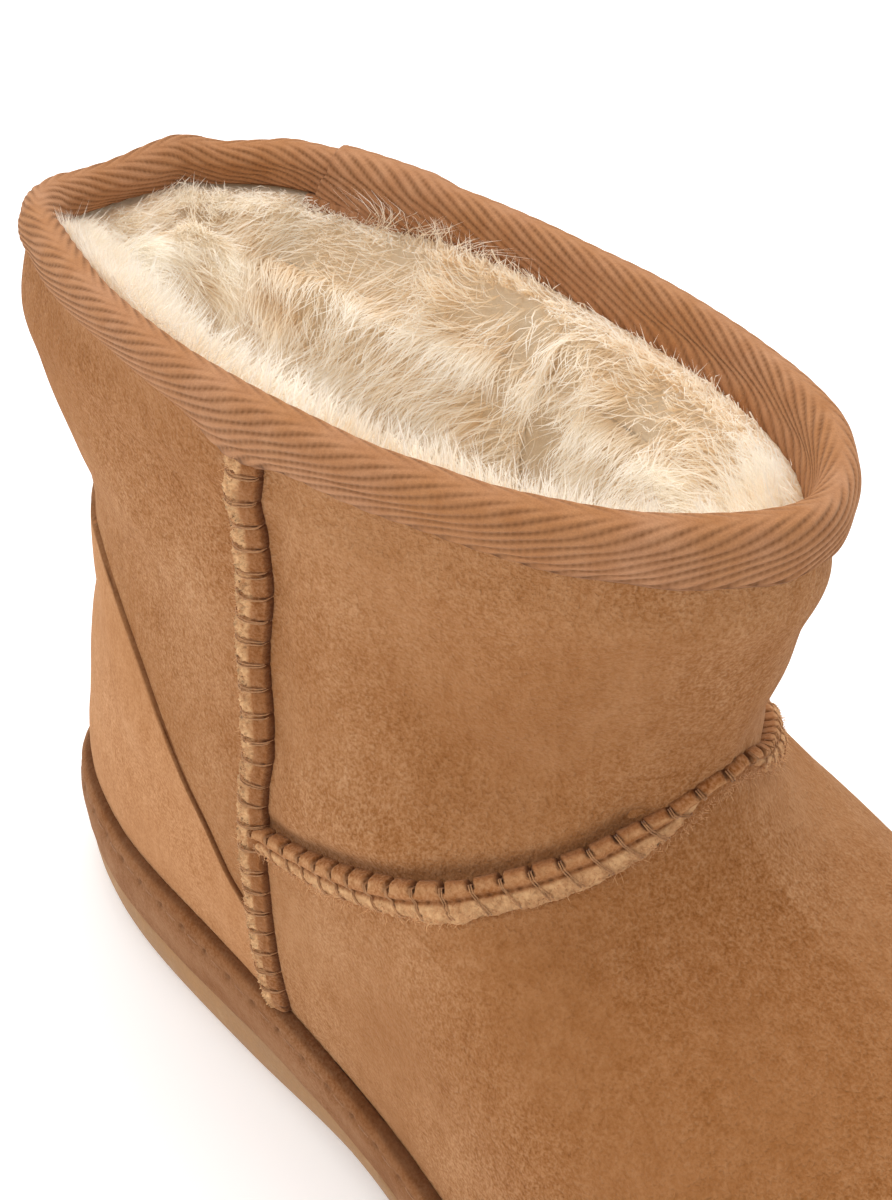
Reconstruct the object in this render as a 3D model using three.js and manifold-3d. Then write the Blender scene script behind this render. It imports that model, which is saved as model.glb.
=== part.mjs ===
// Short pull-on sheepskin boot for the right foot.
// A hollow suede-and-fleece upper stands on a moulded outsole inside a wrapped band, with a loose insole.
// Millimetres: +X from heel to toe, +Y to the inner side of the foot, +Z up; the sole stands on Z = 0.
import * as THREE from "three";
import { mergeVertices } from "three/addons/utils/BufferGeometryUtils.js";
import Module from "manifold-3d";

const wasm = await Module();
wasm.setup();

// ---- driving dimensions ----
const LAST_LENGTH = 268; // heel curve to toe tip, over the upper
const BALL_WIDTH = 95.5; // widest girth of the upper, seen from above
const SHAFT_HEIGHT = 139.5; // floor to the cut edge of the collar at the heel
const INSTEP_HEIGHT = 99; // floor to the throat, where vamp and shaft meet
const HEEL_HEIGHT = 9; // floor to the outsole's upper edge at the heel
const CLEARANCE = 0.3; // between touching pieces

// The section table below is drawn for this sample size and graded to the dimensions above.
const SAMPLE = { length: 268, ball: 95.5, shaft: 139.5, instep: 99, heel: 9 };
const lengthGrade = LAST_LENGTH / SAMPLE.length;
const widthGrade = BALL_WIDTH / SAMPLE.ball;

// ---- the last, as sections laid from the heel curve (back) to the toe or the shin (front) ----
// line and follow: the line below that the section dips with, and how far; wall: hide and fleece together;
// out: half widths on the outer side at the stations along the section; in: the same on the inner side.
const STATIONS = [0.03, 0.12, 0.42, 0.72, 0.92];
const COLUMNS = "name backX backZ frontX frontY frontZ line follow wall out in".split(" ");
const SECTIONS = [
  ["feather", 4, 10, 263, 7, 14.5, "sole", 1, 8,
    [17.5, 28.5, 35, 47.5, 34], [18, 28.5, 29.5, 43, 38]],
  ["bandTop", 3, 25, 268, 7, 26.5, "band", 1, 10,
    [18.5, 30, 36.5, 50, 36], [19, 30, 31.5, 45, 40]],
  ["toeWall", 3.5, 38, 264, 6, 43, "band", 0.6, 10.5,
    [19, 31, 39.5, 49, 33.5], [19, 31, 34.5, 45, 37]],
  ["toeRoof", 5, 52, 240, 4, 57.5, "band", 0.25, 10.5,
    [18.5, 30.5, 39.5, 45, 27], [18.5, 30.5, 36, 43, 29]],
  ["vamp", 7.5, 66, 208, 2, 71.5, "band", 0, 10.5,
    [17.5, 29.5, 38, 40, 23], [17.5, 29.5, 36.5, 39.5, 23.5]],
  ["instep", 9, 81, 180, 0, 78.5, "band", 0, 10.5,
    [16.5, 28.5, 36.5, 36.5, 21], [16.5, 28.5, 36, 36.5, 21]],
  ["ankle", 8, 94, 157, 0, 84.5, "band", 0, 10.5,
    [16, 28, 35.5, 34.5, 20], [16, 27.5, 35.5, 34.5, 20]],
  ["throat", 4.5, 105, 144, 0, 99, "band", 0, 10.5,
    [16.5, 28.5, 35.5, 33.5, 20], [16, 27.5, 35.5, 33, 19.5]],
  ["shin", -3, 115.5, 147, 0, 115, "collar", 0.3, 10,
    [18, 29.5, 36, 34, 21], [17, 28, 36, 33, 20]],
  ["slack", -8.5, 125, 149.5, 0, 129.5, "collar", 0.8, 8.5,
    [18, 29, 37.5, 34.5, 21.5], [17.5, 28, 35, 32.5, 20]],
  ["tapeEdge", -6.5, 133.5, 149, 0, 141.2, "collar", 1, 3.2,
    [17.5, 28, 39.5, 36, 22], [17, 27, 33.5, 32, 19.5]],
  ["collar", -2, 139.5, 148.5, 0, 146.6, "collar", 1, 3,
    [18, 29, 41, 37, 22.5], [17, 26.5, 33, 32, 19.5]],
].map((row) => Object.fromEntries(COLUMNS.map((column, i) => [column, row[i]])));
const rowOf = (name) => SECTIONS.findIndex((section) => section.name === name);

// Lines along the shoe, as X and Z from heel to toe, before the heel height is added to them.
// the outsole's upper edge
const SOLE_KNOTS = [
  [-10, 1], [40, 1], [64, 2.3], [86, 3.4], [104, 2.3],
  [125, 0.2], [155, -1], [190, -1.4], [235, 0.7], [280, 7.8],
];
// the top of the band above it
const BAND_KNOTS = [
  [-10, 16], [40, 16], [64, 17], [86, 15.7], [104, 13.3],
  [125, 11.3], [155, 10], [190, 9.7], [235, 12.2], [280, 19.6],
];
// the collar edge, which sags behind the heel
const COLLAR_KNOTS = [
  [-10, 130], [8, 132], [24, 134.5], [44, 135.7], [80, 135.8], [115, 136.8], [155, 137.8],
];
const LINE_STEPS = 120;

function lineThrough(table) {
  const knots = table.map(([x, z]) => new THREE.Vector3(x * lengthGrade, z + HEEL_HEIGHT, 0));
  const samples = new THREE.CatmullRomCurve3(knots).getPoints(LINE_STEPS);
  return (x) => {
    const past = samples.findIndex((point) => point.x >= x);
    const next = past < 1 ? samples.length - 1 : past;
    const share = (x - samples[next - 1].x) / (samples[next].x - samples[next - 1].x);
    return THREE.MathUtils.lerp(samples[next - 1].y, samples[next].y, share);
  };
}

const soleLine = lineThrough(SOLE_KNOTS);
const bandLine = lineThrough(BAND_KNOTS);
const LINES = { sole: soleLine, band: bandLine, collar: lineThrough(COLLAR_KNOTS) };

// Heights above the band grow with the instep up to the throat, and with the shaft above it.
function gradeHeight(z) {
  const knots = [
    [SAMPLE.heel, HEEL_HEIGHT],
    [SAMPLE.instep, INSTEP_HEIGHT],
    [SAMPLE.shaft, SHAFT_HEIGHT],
  ];
  const i = z < SAMPLE.instep ? 0 : 1;
  const share = (z - knots[i][0]) / (knots[i + 1][0] - knots[i][0]);
  return THREE.MathUtils.lerp(knots[i][1], knots[i + 1][1], share);
}

// One closed section: the back point, the outer stations, the front point, the inner stations in return.
function sectionLoop(section) {
  const backX = section.backX * lengthGrade;
  const frontX = section.frontX * lengthGrade;
  const backZ = gradeHeight(section.backZ);
  const frontZ = gradeHeight(section.frontZ);
  const line = LINES[section.line];
  const place = (along, side) => {
    const x = THREE.MathUtils.lerp(backX, frontX, along);
    const straight = THREE.MathUtils.lerp(backZ, frontZ, along);
    const z = THREE.MathUtils.lerp(straight, line(x) - line(backX) + backZ, section.follow);
    return new THREE.Vector3(x, section.frontY * along ** 2 + side * widthGrade, z);
  };
  const outer = STATIONS.map((along, i) => place(along, -section.out[i]));
  const inner = STATIONS.map((along, i) => place(along, section.in[i]));
  const points = [place(0, 0), ...outer, place(1, 0), ...inner.reverse()];
  return new THREE.CatmullRomCurve3(points, true, "centripetal");
}

// ---- the skin: a grid of rings from the feather edge to the collar ----
const AROUND = 56;
const PER_SECTION = 2;
const RINGS = (SECTIONS.length - 1) * PER_SECTION;

function buildSkin() {
  const loops = SECTIONS.map(sectionLoop);
  const grid = Array.from({ length: RINGS + 1 }, () => []);
  for (let i = 0; i < AROUND; i += 1) {
    const heights = loops.map((loop) => loop.getPoint(i / AROUND));
    const rise = new THREE.CatmullRomCurve3(heights, false, "centripetal");
    grid.forEach((ring, j) => ring.push(rise.getPoint(j / RINGS)));
  }
  return grid;
}

const skin = buildSkin();

const normals = skin.map((ring, j) =>
  ring.map((_, i) => {
    const along = ring[(i + 1) % AROUND].clone().sub(ring[(i + AROUND - 1) % AROUND]);
    const up = skin[Math.min(j + 1, RINGS)][i].clone().sub(skin[Math.max(j - 1, 0)][i]);
    return along.cross(up).normalize();
  }),
);

function wallAt(j) {
  const lower = Math.min(Math.floor(j / PER_SECTION), SECTIONS.length - 2);
  return THREE.MathUtils.lerp(SECTIONS[lower].wall, SECTIONS[lower + 1].wall, j / PER_SECTION - lower);
}

// A point on the skin moved out by a distance, and up by another; the feather edge keeps to the outsole.
function skinPoint(i, j, out, lift = 0) {
  const point = skin[j][i].clone().addScaledVector(normals[j][i], out);
  if (j === 0) point.z = soleLine(point.x) + CLEARANCE;
  point.z += lift;
  return point;
}

// ---- solids ----
const WELD = 1e-4;

function toSolid(geometry) {
  const plain = geometry.clone();
  plain.deleteAttribute("normal");
  plain.deleteAttribute("uv");
  const merged = mergeVertices(plain, WELD);
  return new wasm.Manifold(
    new wasm.Mesh({
      numProp: 3,
      vertProperties: new Float32Array(merged.attributes.position.array),
      triVerts: new Uint32Array(merged.index.array),
    }),
  );
}

function toGeometry(solid) {
  const mesh = solid.getMesh();
  const geometry = new THREE.BufferGeometry();
  geometry.setAttribute("position", new THREE.BufferAttribute(mesh.vertProperties, 3));
  geometry.setIndex(new THREE.BufferAttribute(mesh.triVerts, 1));
  return geometry;
}

function gridGeometry(points, triangles) {
  const geometry = new THREE.BufferGeometry().setFromPoints(points);
  geometry.setIndex(triangles);
  return geometry;
}

// A closed ring right round the boot: section(i) gives its corner points at place i, outer side first.
function ringGeometry(section) {
  const corners = section(0).length;
  const points = [];
  const triangles = [];
  for (let i = 0; i < AROUND; i += 1) {
    points.push(...section(i));
    for (let k = 0; k < corners; k += 1) {
      const a = i * corners + k;
      const b = i * corners + ((k + 1) % corners);
      const c = ((i + 1) % AROUND) * corners + ((k + 1) % corners);
      const d = ((i + 1) % AROUND) * corners + k;
      triangles.push(a, d, c, a, c, b);
    }
  }
  return gridGeometry(points, triangles);
}

// The hollow upper, or a larger form of it: grown outwards, inwards and past its two edges.
function upperForm(out, inward, past) {
  const lift = (j) => (j === RINGS ? past : 0) - (j === 0 ? past : 0);
  const rings = Array.from({ length: RINGS + 1 }, (_, j) => j);
  return ringGeometry((i) => [
    ...rings.map((j) => skinPoint(i, j, out, lift(j))),
    ...rings.toReversed().map((j) => skinPoint(i, j, -wallAt(j) - inward, lift(j))),
  ]);
}

// A prism whose outline is drawn in the side view, from one Y to another.
function sidePrism(outline, yFrom, yTo) {
  const shape = new THREE.Shape(outline.map(([x, z]) => new THREE.Vector2(x, z)));
  const geometry = new THREE.ExtrudeGeometry(shape, { depth: yTo - yFrom, bevelEnabled: false });
  geometry.rotateX(Math.PI / 2);
  geometry.translate(0, yTo, 0);
  return toSolid(geometry);
}

// A laid-on piece: the layer between two larger forms of the upper, inside an outline in the side view.
// The smaller form reaches further in and past the edges, so that nothing is left of the layer there.
const REACH_IN = 1;
const REACH_PAST = 2;

function overlay(proud, outline, yFrom, yTo) {
  const larger = toSolid(upperForm(proud, 0, CLEARANCE));
  const layer = larger.subtract(toSolid(upperForm(CLEARANCE, REACH_IN, REACH_PAST)));
  return layer.intersect(sidePrism(outline, yFrom, yTo));
}

// ---- upper ----
const upper = upperForm(0, 0, 0);

// ---- collar binding: twill folded over the collar edge ----
const TAPE_THICK = 1.7;
const tapeRings = Array.from({ length: PER_SECTION + 1 }, (_, k) => rowOf("tapeEdge") * PER_SECTION + k);

function bindingSection(i) {
  const outside = CLEARANCE + TAPE_THICK;
  const top = tapeRings.at(-1);
  const outerFace = tapeRings.map((j) => skinPoint(i, j, outside));
  const innerFace = tapeRings.map((j) => skinPoint(i, j, -wallAt(j) - outside));
  const foldOut = tapeRings.map((j) => skinPoint(i, j, CLEARANCE, j === top ? CLEARANCE : 0));
  const foldIn = tapeRings.map((j) => skinPoint(i, j, -wallAt(j) - CLEARANCE, j === top ? CLEARANCE : 0));
  const crown = [skinPoint(i, top, 0, outside), skinPoint(i, top, -wallAt(top), outside)];
  return [...outerFace, ...crown, ...innerFace.reverse(), ...foldIn, ...foldOut.reverse()];
}

const binding = ringGeometry(bindingSection);

// ---- sole band: a wrapped strip round the feather edge ----
const BAND_THICK = 3.4;
const bandRings = Array.from({ length: PER_SECTION + 1 }, (_, k) => k);
const BAND_BULGE = [0.94, 1, 0.8];

const band = ringGeometry((i) => [
  ...bandRings.map((j) => skinPoint(i, j, CLEARANCE + BAND_THICK * BAND_BULGE[j])),
  ...bandRings.toReversed().map((j) => skinPoint(i, j, CLEARANCE)),
]);

// ---- raised side seams, outer and inner ----
const SIDE_REACH = 80;
const bandTop = (x) => bandLine(x) + 2 * CLEARANCE;
const SEAM_PROUD = 2.1;
const SEAM_WIDTH = 7;
// Middle line of the seam in the side view, from the tape down to the band.
const SIDE_SEAM = [
  [81.5, 138.2], [80, 120], [79.8, 106], [81.2, 90],
  [82.2, 72], [84, 55], [86, 40], [87.6, 25.2],
];

function stripOutline(middle, width) {
  const half = width / 2;
  const front = middle.map(([x, z]) => [x + half, z]);
  const back = middle.map(([x, z]) => [x - half, z]);
  return [...front, ...back.reverse()];
}

const seamOutline = stripOutline(SIDE_SEAM, SEAM_WIDTH);
const seamRoom = sidePrism(stripOutline(SIDE_SEAM, SEAM_WIDTH + 2 * CLEARANCE), -SIDE_REACH, SIDE_REACH);
const outerSeam = overlay(SEAM_PROUD, seamOutline, -SIDE_REACH, 0);
const innerSeam = overlay(SEAM_PROUD, seamOutline, 0, SIDE_REACH);

// ---- heel counter ----
const COUNTER_PROUD = 1.4;
// Its top edge, from behind the heel down to the side seams.
const COUNTER_EDGE = [
  [-12, 99], [6, 99], [16, 97.5], [26, 93],
  [37, 85.5], [52, 72.5], [65, 59.5], [80.5, 42.5],
];
const COUNTER_FOOT = [86, 70, 55, 40, 20, 0, -12];
const counterOutline = [...COUNTER_EDGE, ...COUNTER_FOOT.map((x) => [x, bandTop(x)])];
const counter = overlay(COUNTER_PROUD, counterOutline, -SIDE_REACH, SIDE_REACH).subtract(seamRoom);

// ---- raised vamp seam, from side seam to side seam over the instep ----
const VAMP_SEAM_UPPER = [
  [80, 65.5], [88, 67.5], [96, 70.5], [107.5, 76.5], [119, 82],
  [128, 87], [135, 91], [139, 95.5], [140, 101.5],
];
const VAMP_SEAM_LOWER = [
  [152, 101.5], [152, 97], [147, 92.5], [141, 87], [134, 82],
  [125, 77.5], [108, 69], [94, 62.5], [80, 59.5],
];
const vampOutline = [...VAMP_SEAM_UPPER, ...VAMP_SEAM_LOWER];
const vampSeam = overlay(SEAM_PROUD, vampOutline, -SIDE_REACH, SIDE_REACH).subtract(seamRoom);

// ---- sole pieces: plates whose two faces are ruled across from the outer to the inner edge ----
// levels: from the bottom face up, each with how far it stands out from the loop and its height at a place.
function plateGeometry(loop, levels) {
  const points = [];
  const triangles = [];
  const outward = loop.map((_, i) => {
    const along = loop[(i + 1) % AROUND].clone().sub(loop[(i + AROUND - 1) % AROUND]);
    return new THREE.Vector3(along.y, -along.x, 0).normalize();
  });
  levels.forEach(({ out, height }) => {
    loop.forEach((point, i) => {
      const moved = point.clone().addScaledVector(outward[i], out);
      points.push(new THREE.Vector3(moved.x, moved.y, height(moved.x)));
    });
  });
  for (let level = 0; level + 1 < levels.length; level += 1) {
    for (let i = 0; i < AROUND; i += 1) {
      const a = level * AROUND + i;
      const b = level * AROUND + ((i + 1) % AROUND);
      triangles.push(a, b, b + AROUND, a, b + AROUND, a + AROUND);
    }
  }
  const topStart = (levels.length - 1) * AROUND;
  for (let i = 0; i < AROUND / 2; i += 1) {
    const outer = [i, i + 1];
    const inner = [(AROUND - i) % AROUND, AROUND - i - 1];
    const quad = [outer[0], inner[0], inner[1], outer[1]];
    [[quad[0], quad[1], quad[2]], [quad[0], quad[2], quad[3]]].forEach(([a, b, c]) => {
      if (a === b || b === c || c === a) return;
      triangles.push(a, b, c);
      triangles.push(topStart + a, topStart + c, topStart + b);
    });
  }
  return gridGeometry(points, triangles);
}

// ---- outsole ----
const ARCH_RISE = 3;
const ARCH = [78, 150];
const TOE_SPRING = 8.5;
const SPRING_START = 205;
const HEEL_BEVEL = 2;
const BEVEL_LENGTH = 12;
const SOLE_EDGE = 2.9; // how far the outsole stands out from the feather edge of the upper

// Underside along the shoe: flat under heel and ball, raised at the arch, sprung at the toe.
function underside(x) {
  const at = x / lengthGrade;
  if (at < BEVEL_LENGTH) return HEEL_BEVEL * ((BEVEL_LENGTH - at) / (BEVEL_LENGTH + 2)) ** 2;
  if (at > ARCH[0] && at < ARCH[1]) {
    return ARCH_RISE * Math.sin((Math.PI * (at - ARCH[0])) / (ARCH[1] - ARCH[0])) ** 2;
  }
  if (at > SPRING_START) return TOE_SPRING * ((at - SPRING_START) / (LAST_LENGTH - SPRING_START)) ** 2;
  return 0;
}

// The outsole's rounded side from the bottom edge up: how far it is drawn in, and its share of the height.
const SOLE_PROFILE = [[3.4, 0], [1.4, 0.15], [0.2, 0.6], [0, 1]];
const featherLoop = Array.from({ length: AROUND }, (_, i) => skinPoint(i, 0, 0));
const outsoleBody = plateGeometry(
  featherLoop,
  SOLE_PROFILE.map(([drawnIn, share]) => ({
    out: SOLE_EDGE - drawnIn,
    height: (x) => THREE.MathUtils.lerp(underside(x), soleLine(x), share),
  })),
);

// Lugs are what is left between pockets that cross the tread and stop short of its edge.
const LUG_PITCH = 10;
const POCKET_WIDTH = 3.2;
const POCKET_DEPTH = 2;
const TREAD_EDGE = 9;
const TREADS = [[20, 70], [156, 236]];

// The outer and inner ends of a pocket at a place along the shoe.
function pocketEnds(x) {
  const nearest = (side) => {
    const edge = featherLoop.filter((point) => Math.sign(point.y) === side);
    return edge.sort((a, b) => Math.abs(a.x - x) - Math.abs(b.x - x))[0];
  };
  return [nearest(-1).y + TREAD_EDGE, nearest(1).y - TREAD_EDGE];
}

function pockets() {
  const cuts = [];
  TREADS.forEach(([from, to]) => {
    for (let x = from; x <= to; x += LUG_PITCH) {
      const [yLow, yHigh] = pocketEnds(x * lengthGrade);
      const cut = new THREE.BoxGeometry(POCKET_WIDTH, yHigh - yLow, POCKET_DEPTH * 2);
      cut.translate(x * lengthGrade, (yLow + yHigh) / 2, underside(x * lengthGrade));
      cuts.push(toSolid(cut));
    }
  });
  return cuts;
}

const outsole = pockets().reduce((solid, cut) => solid.subtract(cut), toSolid(outsoleBody));

// ---- insole ----
const INSOLE_THICK = 7;
const INSOLE_GAP = 0.8; // between its widest edge and the fleece wall
// Its edge from the bottom up: how far it is drawn in, and its share of the thickness.
const INSOLE_PROFILE = [[0.4, 0], [0, 0.6], [2, 1]];
const innerLoop = Array.from({ length: AROUND }, (_, i) => skinPoint(i, 0, -wallAt(0)));
const insole = plateGeometry(
  innerLoop,
  INSOLE_PROFILE.map(([drawnIn, share]) => ({
    out: -INSOLE_GAP - drawnIn,
    height: (x) => soleLine(x) + CLEARANCE + INSOLE_THICK * share,
  })),
);

// ---- the boot ----
const FINISHES = {
  suede: { color: 0xa8744c, roughness: 0.95, metalness: 0 },
  counterSuede: { color: 0xb1805e, roughness: 0.92, metalness: 0 },
  seamSuede: { color: 0xb98a5f, roughness: 0.95, metalness: 0 },
  twill: { color: 0xa47855, roughness: 0.9, metalness: 0 },
  bandSuede: { color: 0x895e3f, roughness: 0.85, metalness: 0 },
  soleFoam: { color: 0xa27a4b, roughness: 0.7, metalness: 0 },
  fleece: { color: 0xe7d2b7, roughness: 1, metalness: 0 },
};
const PIECES = [
  ["upper", upper, "suede"],
  ["collar_binding", binding, "twill"],
  ["heel_counter", toGeometry(counter), "counterSuede"],
  ["lateral_seam", toGeometry(outerSeam), "seamSuede"],
  ["medial_seam", toGeometry(innerSeam), "seamSuede"],
  ["vamp_seam", toGeometry(vampSeam), "seamSuede"],
  ["sole_band", band, "bandSuede"],
  ["insole", insole, "fleece"],
  ["outsole", toGeometry(outsole), "soleFoam"],
];

const boot = new THREE.Group();
PIECES.forEach(([name, geometry, finish]) => {
  const mesh = new THREE.Mesh(geometry, new THREE.MeshStandardMaterial(FINISHES[finish]));
  mesh.name = name;
  boot.add(mesh);
});

// The origin is the middle of the boot's footprint, on the floor.
const bounds = new THREE.Box3().setFromObject(boot);
const middle = bounds.getCenter(new THREE.Vector3());
boot.position.set(-middle.x, -middle.y, -bounds.min.z);

export default boot;
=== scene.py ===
"""Short pull-on sheepskin boot for the right foot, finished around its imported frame.

The pattern functions work in millimetres from the heel curve; meshes are put down in metres in the row frame.
"""
import math

import bmesh
import bpy
import numpy as np
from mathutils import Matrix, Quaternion, Vector


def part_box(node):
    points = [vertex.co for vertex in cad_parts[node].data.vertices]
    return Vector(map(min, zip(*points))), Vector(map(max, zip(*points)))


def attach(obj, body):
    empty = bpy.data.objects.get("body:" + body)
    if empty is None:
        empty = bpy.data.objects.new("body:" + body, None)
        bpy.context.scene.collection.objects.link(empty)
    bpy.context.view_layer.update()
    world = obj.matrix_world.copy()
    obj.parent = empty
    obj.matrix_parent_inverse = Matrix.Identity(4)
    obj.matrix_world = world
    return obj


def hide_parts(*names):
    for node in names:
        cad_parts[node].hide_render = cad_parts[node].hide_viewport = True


bl_info = {
    "name": "Sheepskin Boot",
    "version": (1, 0, 0),
    "blender": (4, 5, 0),
    "location": "3D Viewport > Sidebar > Boot",
    "description": "Builds a short sheepskin boot piece by piece around its frame",
    "category": "Add Mesh",
}

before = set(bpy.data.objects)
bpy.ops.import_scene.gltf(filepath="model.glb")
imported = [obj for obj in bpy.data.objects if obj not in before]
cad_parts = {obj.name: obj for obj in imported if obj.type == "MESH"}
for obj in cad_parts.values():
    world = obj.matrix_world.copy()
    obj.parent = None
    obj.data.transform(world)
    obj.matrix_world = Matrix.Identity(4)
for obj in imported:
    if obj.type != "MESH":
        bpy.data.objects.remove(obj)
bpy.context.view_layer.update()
BODY = "root"
MM = 0.001

# ---- the last: the same sections that the frame is lofted through, in millimetres ----
# out and inn: half widths on the outer and inner side at STATIONS along a section from heel curve to front.
STATIONS = (0.03, 0.12, 0.42, 0.72, 0.92)
HEEL_HEIGHT = 9.0
SECTION_FIELDS = ("back_x", "back_z", "front_x", "front_y", "front_z", "line", "follow", "wall",
                  "out", "inn")
SECTIONS = {
    "feather": (4, 10, 263, 7, 14.5, "sole", 1, 8,
                (17.5, 28.5, 35, 47.5, 34), (18, 28.5, 29.5, 43, 38)),
    "band_top": (3, 25, 268, 7, 26.5, "band", 1, 10,
                 (18.5, 30, 36.5, 50, 36), (19, 30, 31.5, 45, 40)),
    "toe_wall": (3.5, 38, 264, 6, 43, "band", 0.6, 10.5,
                 (19, 31, 39.5, 49, 33.5), (19, 31, 34.5, 45, 37)),
    "toe_roof": (5, 52, 240, 4, 57.5, "band", 0.25, 10.5,
                 (18.5, 30.5, 39.5, 45, 27), (18.5, 30.5, 36, 43, 29)),
    "vamp": (7.5, 66, 208, 2, 71.5, "band", 0, 10.5,
             (17.5, 29.5, 38, 40, 23), (17.5, 29.5, 36.5, 39.5, 23.5)),
    "instep": (9, 81, 180, 0, 78.5, "band", 0, 10.5,
               (16.5, 28.5, 36.5, 36.5, 21), (16.5, 28.5, 36, 36.5, 21)),
    "ankle": (8, 94, 157, 0, 84.5, "band", 0, 10.5,
              (16, 28, 35.5, 34.5, 20), (16, 27.5, 35.5, 34.5, 20)),
    "throat": (4.5, 105, 144, 0, 99, "band", 0, 10.5,
               (16.5, 28.5, 35.5, 33.5, 20), (16, 27.5, 35.5, 33, 19.5)),
    "shin": (-3, 115.5, 147, 0, 115, "collar", 0.3, 10,
             (18, 29.5, 36, 34, 21), (17, 28, 36, 33, 20)),
    "slack": (-8.5, 125, 149.5, 0, 129.5, "collar", 0.8, 8.5,
              (18, 29, 37.5, 34.5, 21.5), (17.5, 28, 35, 32.5, 20)),
    "tape_edge": (-6.5, 133.5, 149, 0, 141.2, "collar", 1, 3.2,
                  (17.5, 28, 39.5, 36, 22), (17, 27, 33.5, 32, 19.5)),
    "collar": (-2, 139.5, 148.5, 0, 146.6, "collar", 1, 3,
               (18, 29, 41, 37, 22.5), (17, 26.5, 33, 32, 19.5)),
}
LINES = {
    "sole": ((-10, 1), (40, 1), (64, 2.3), (86, 3.4), (104, 2.3), (125, 0.2), (155, -1), (190, -1.4),
             (235, 0.7), (280, 7.8)),
    "band": ((-10, 16), (40, 16), (64, 17), (86, 15.7), (104, 13.3), (125, 11.3), (155, 10), (190, 9.7),
             (235, 12.2), (280, 19.6)),
    "collar": ((-10, 130), (8, 132), (24, 134.5), (44, 135.7), (80, 135.8), (115, 136.8), (155, 137.8)),
}
LAST_SECTION = len(SECTIONS) - 1
LOOP_POINTS = 2 * len(STATIONS) + 2
FRAME_AROUND = 56
FRAME_RINGS = 22

# ---- lines drawn on the side view, as X and Z ----
SIDE_SEAM = ((81.5, 139.5), (80, 120), (79.8, 106), (81.2, 90), (82.2, 72), (84, 55), (86, 40), (87.6, 25.2))
VAMP_SEAM = ((82, 63.3), (92, 66), (102, 69.8), (113, 75.2), (123, 80.3), (131.5, 84.6), (138, 89.4),
             (142, 94.2))
VAMP_SEAM_FRONT_Z = 100.5
COUNTER_EDGE = ((-12, 94), (6, 94), (16, 92.5), (26, 88.5), (37, 81.5), (52, 69.5), (65, 58), (80.5, 42.5))

# Soft forms of worn suede: what it is; side (-1 outer, 1 inner, 0 both); how far it stands out or sinks in;
# half width; line on the side view.
SOFT_FORMS = (
    ("shaft hangs over vamp seam", 0, 1.5, 6.0, ((90, 76), (104, 80), (118, 87), (130, 93), (137, 100))),
    ("crease above vamp seam", 0, -1.0, 2.0, ((86, 67.6), (96, 70.6), (107, 76.4), (119, 82), (128, 86.4),
                                              (135, 90.6), (139, 95.5))),
    ("pucker behind side seam", 0, -0.7, 3.0, ((75.5, 133), (74, 110), (76, 85), (78, 60), (81, 35))),
    ("pucker before side seam", 0, -0.9, 2.6, ((86, 133), (84.5, 110), (86.5, 88), (87, 72))),
    ("front panel swells beside seam", 0, 0.7, 7.0, ((97, 126), (96, 105), (98, 88))),
    ("hollow of the heel shaft", 0, -0.9, 9.0, ((14, 104), (30, 98), (48, 90))),
    ("swell under the tape", 0, 0.8, 4.0, ((4, 122), (30, 125), (70, 128), (110, 129), (146, 131))),
    ("dent in front panel", -1, -0.9, 8.0, ((112, 116), (118, 104), (128, 98))),
    ("soft fold across the shin", -1, 0.7, 5.0, ((120, 108), (134, 104), (146, 106))),
    ("soft fold across the instep", 0, -0.8, 6.0, ((150, 79), (162, 66), (168, 50))),
    ("swell of the vamp", 0, 0.9, 14.0, ((175, 62), (205, 52), (232, 42))),
    ("slack over the counter", -1, 0.6, 6.0, ((20, 84), (34, 74), (48, 60))),
    ("inner shaft fold", 1, -0.9, 7.0, ((30, 112), (60, 104), (100, 100))),
)

# Patches painted lighter or darker, partly where the nap lies differently and partly painted light and shade,
# such as the darker ones under the tape and over the vamp: side, X, Z, radius, strength.
NAP_AND_PAINTED_LIGHT_PATCHES = (
    (-1, 18, 126, 12, -0.8), (-1, 40, 128, 12, -0.55), (-1, 62, 126, 9, -0.5), (-1, 30, 104, 14, 0.25),
    (-1, 66, 96, 9, 0.3), (-1, 72, 62, 9, 0.35), (-1, 100, 122, 14, 0.3), (-1, 120, 104, 14, -0.35),
    (-1, 138, 118, 12, -0.25), (-1, 106, 92, 10, 0.25), (-1, 150, 76, 16, -0.95), (-1, 172, 66, 18, -0.7),
    (-1, 122, 68, 9, 0.3), (-1, 100, 56, 12, 0.35), (-1, 150, 62, 16, -0.2), (-1, 120, 40, 18, -0.25),
    (-1, 180, 50, 18, -0.45), (-1, 205, 52, 30, -0.6), (-1, 165, 58, 20, -0.35), (1, 40, 100, 20, -0.3),
    (1, 120, 60, 22, 0.3), (1, 180, 50, 20, -0.25), (-1, 92, 78, 7, -0.25), (-1, 50, 60, 10, 0.3),
)

# Soft corners of the collar seen from above: X, Y, how far they stand out or sink in.
COLLAR_CORNERS = ((10.9, -28.3, 0.5), (4.8, -17.5, 0.9), (1.5, -3.0, -0.8), (-1.4, 11.4, 1.3),
                  (3.7, 20.5, -0.5))
TAPE_JOIN = (22.2, 33.7)  # X and Y where the ends of the tape meet

# Where each run of random draws starts, so that the boot comes out the same every time.
SEEDS = {"skin": 11, "collar_tape": 5, "outer_side_seam": 21, "inner_side_seam": 22, "vamp_seam_cord": 31,
         "threads_and_fibres": 41, "wrapped_band": 51, "footbed": 61, "pile_body": 81,
         "fleece_pile_a": 91, "fleece_pile_b": 92, "wool_lie": 95}


def draws(name):
    return np.random.default_rng(SEEDS[name])


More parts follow.
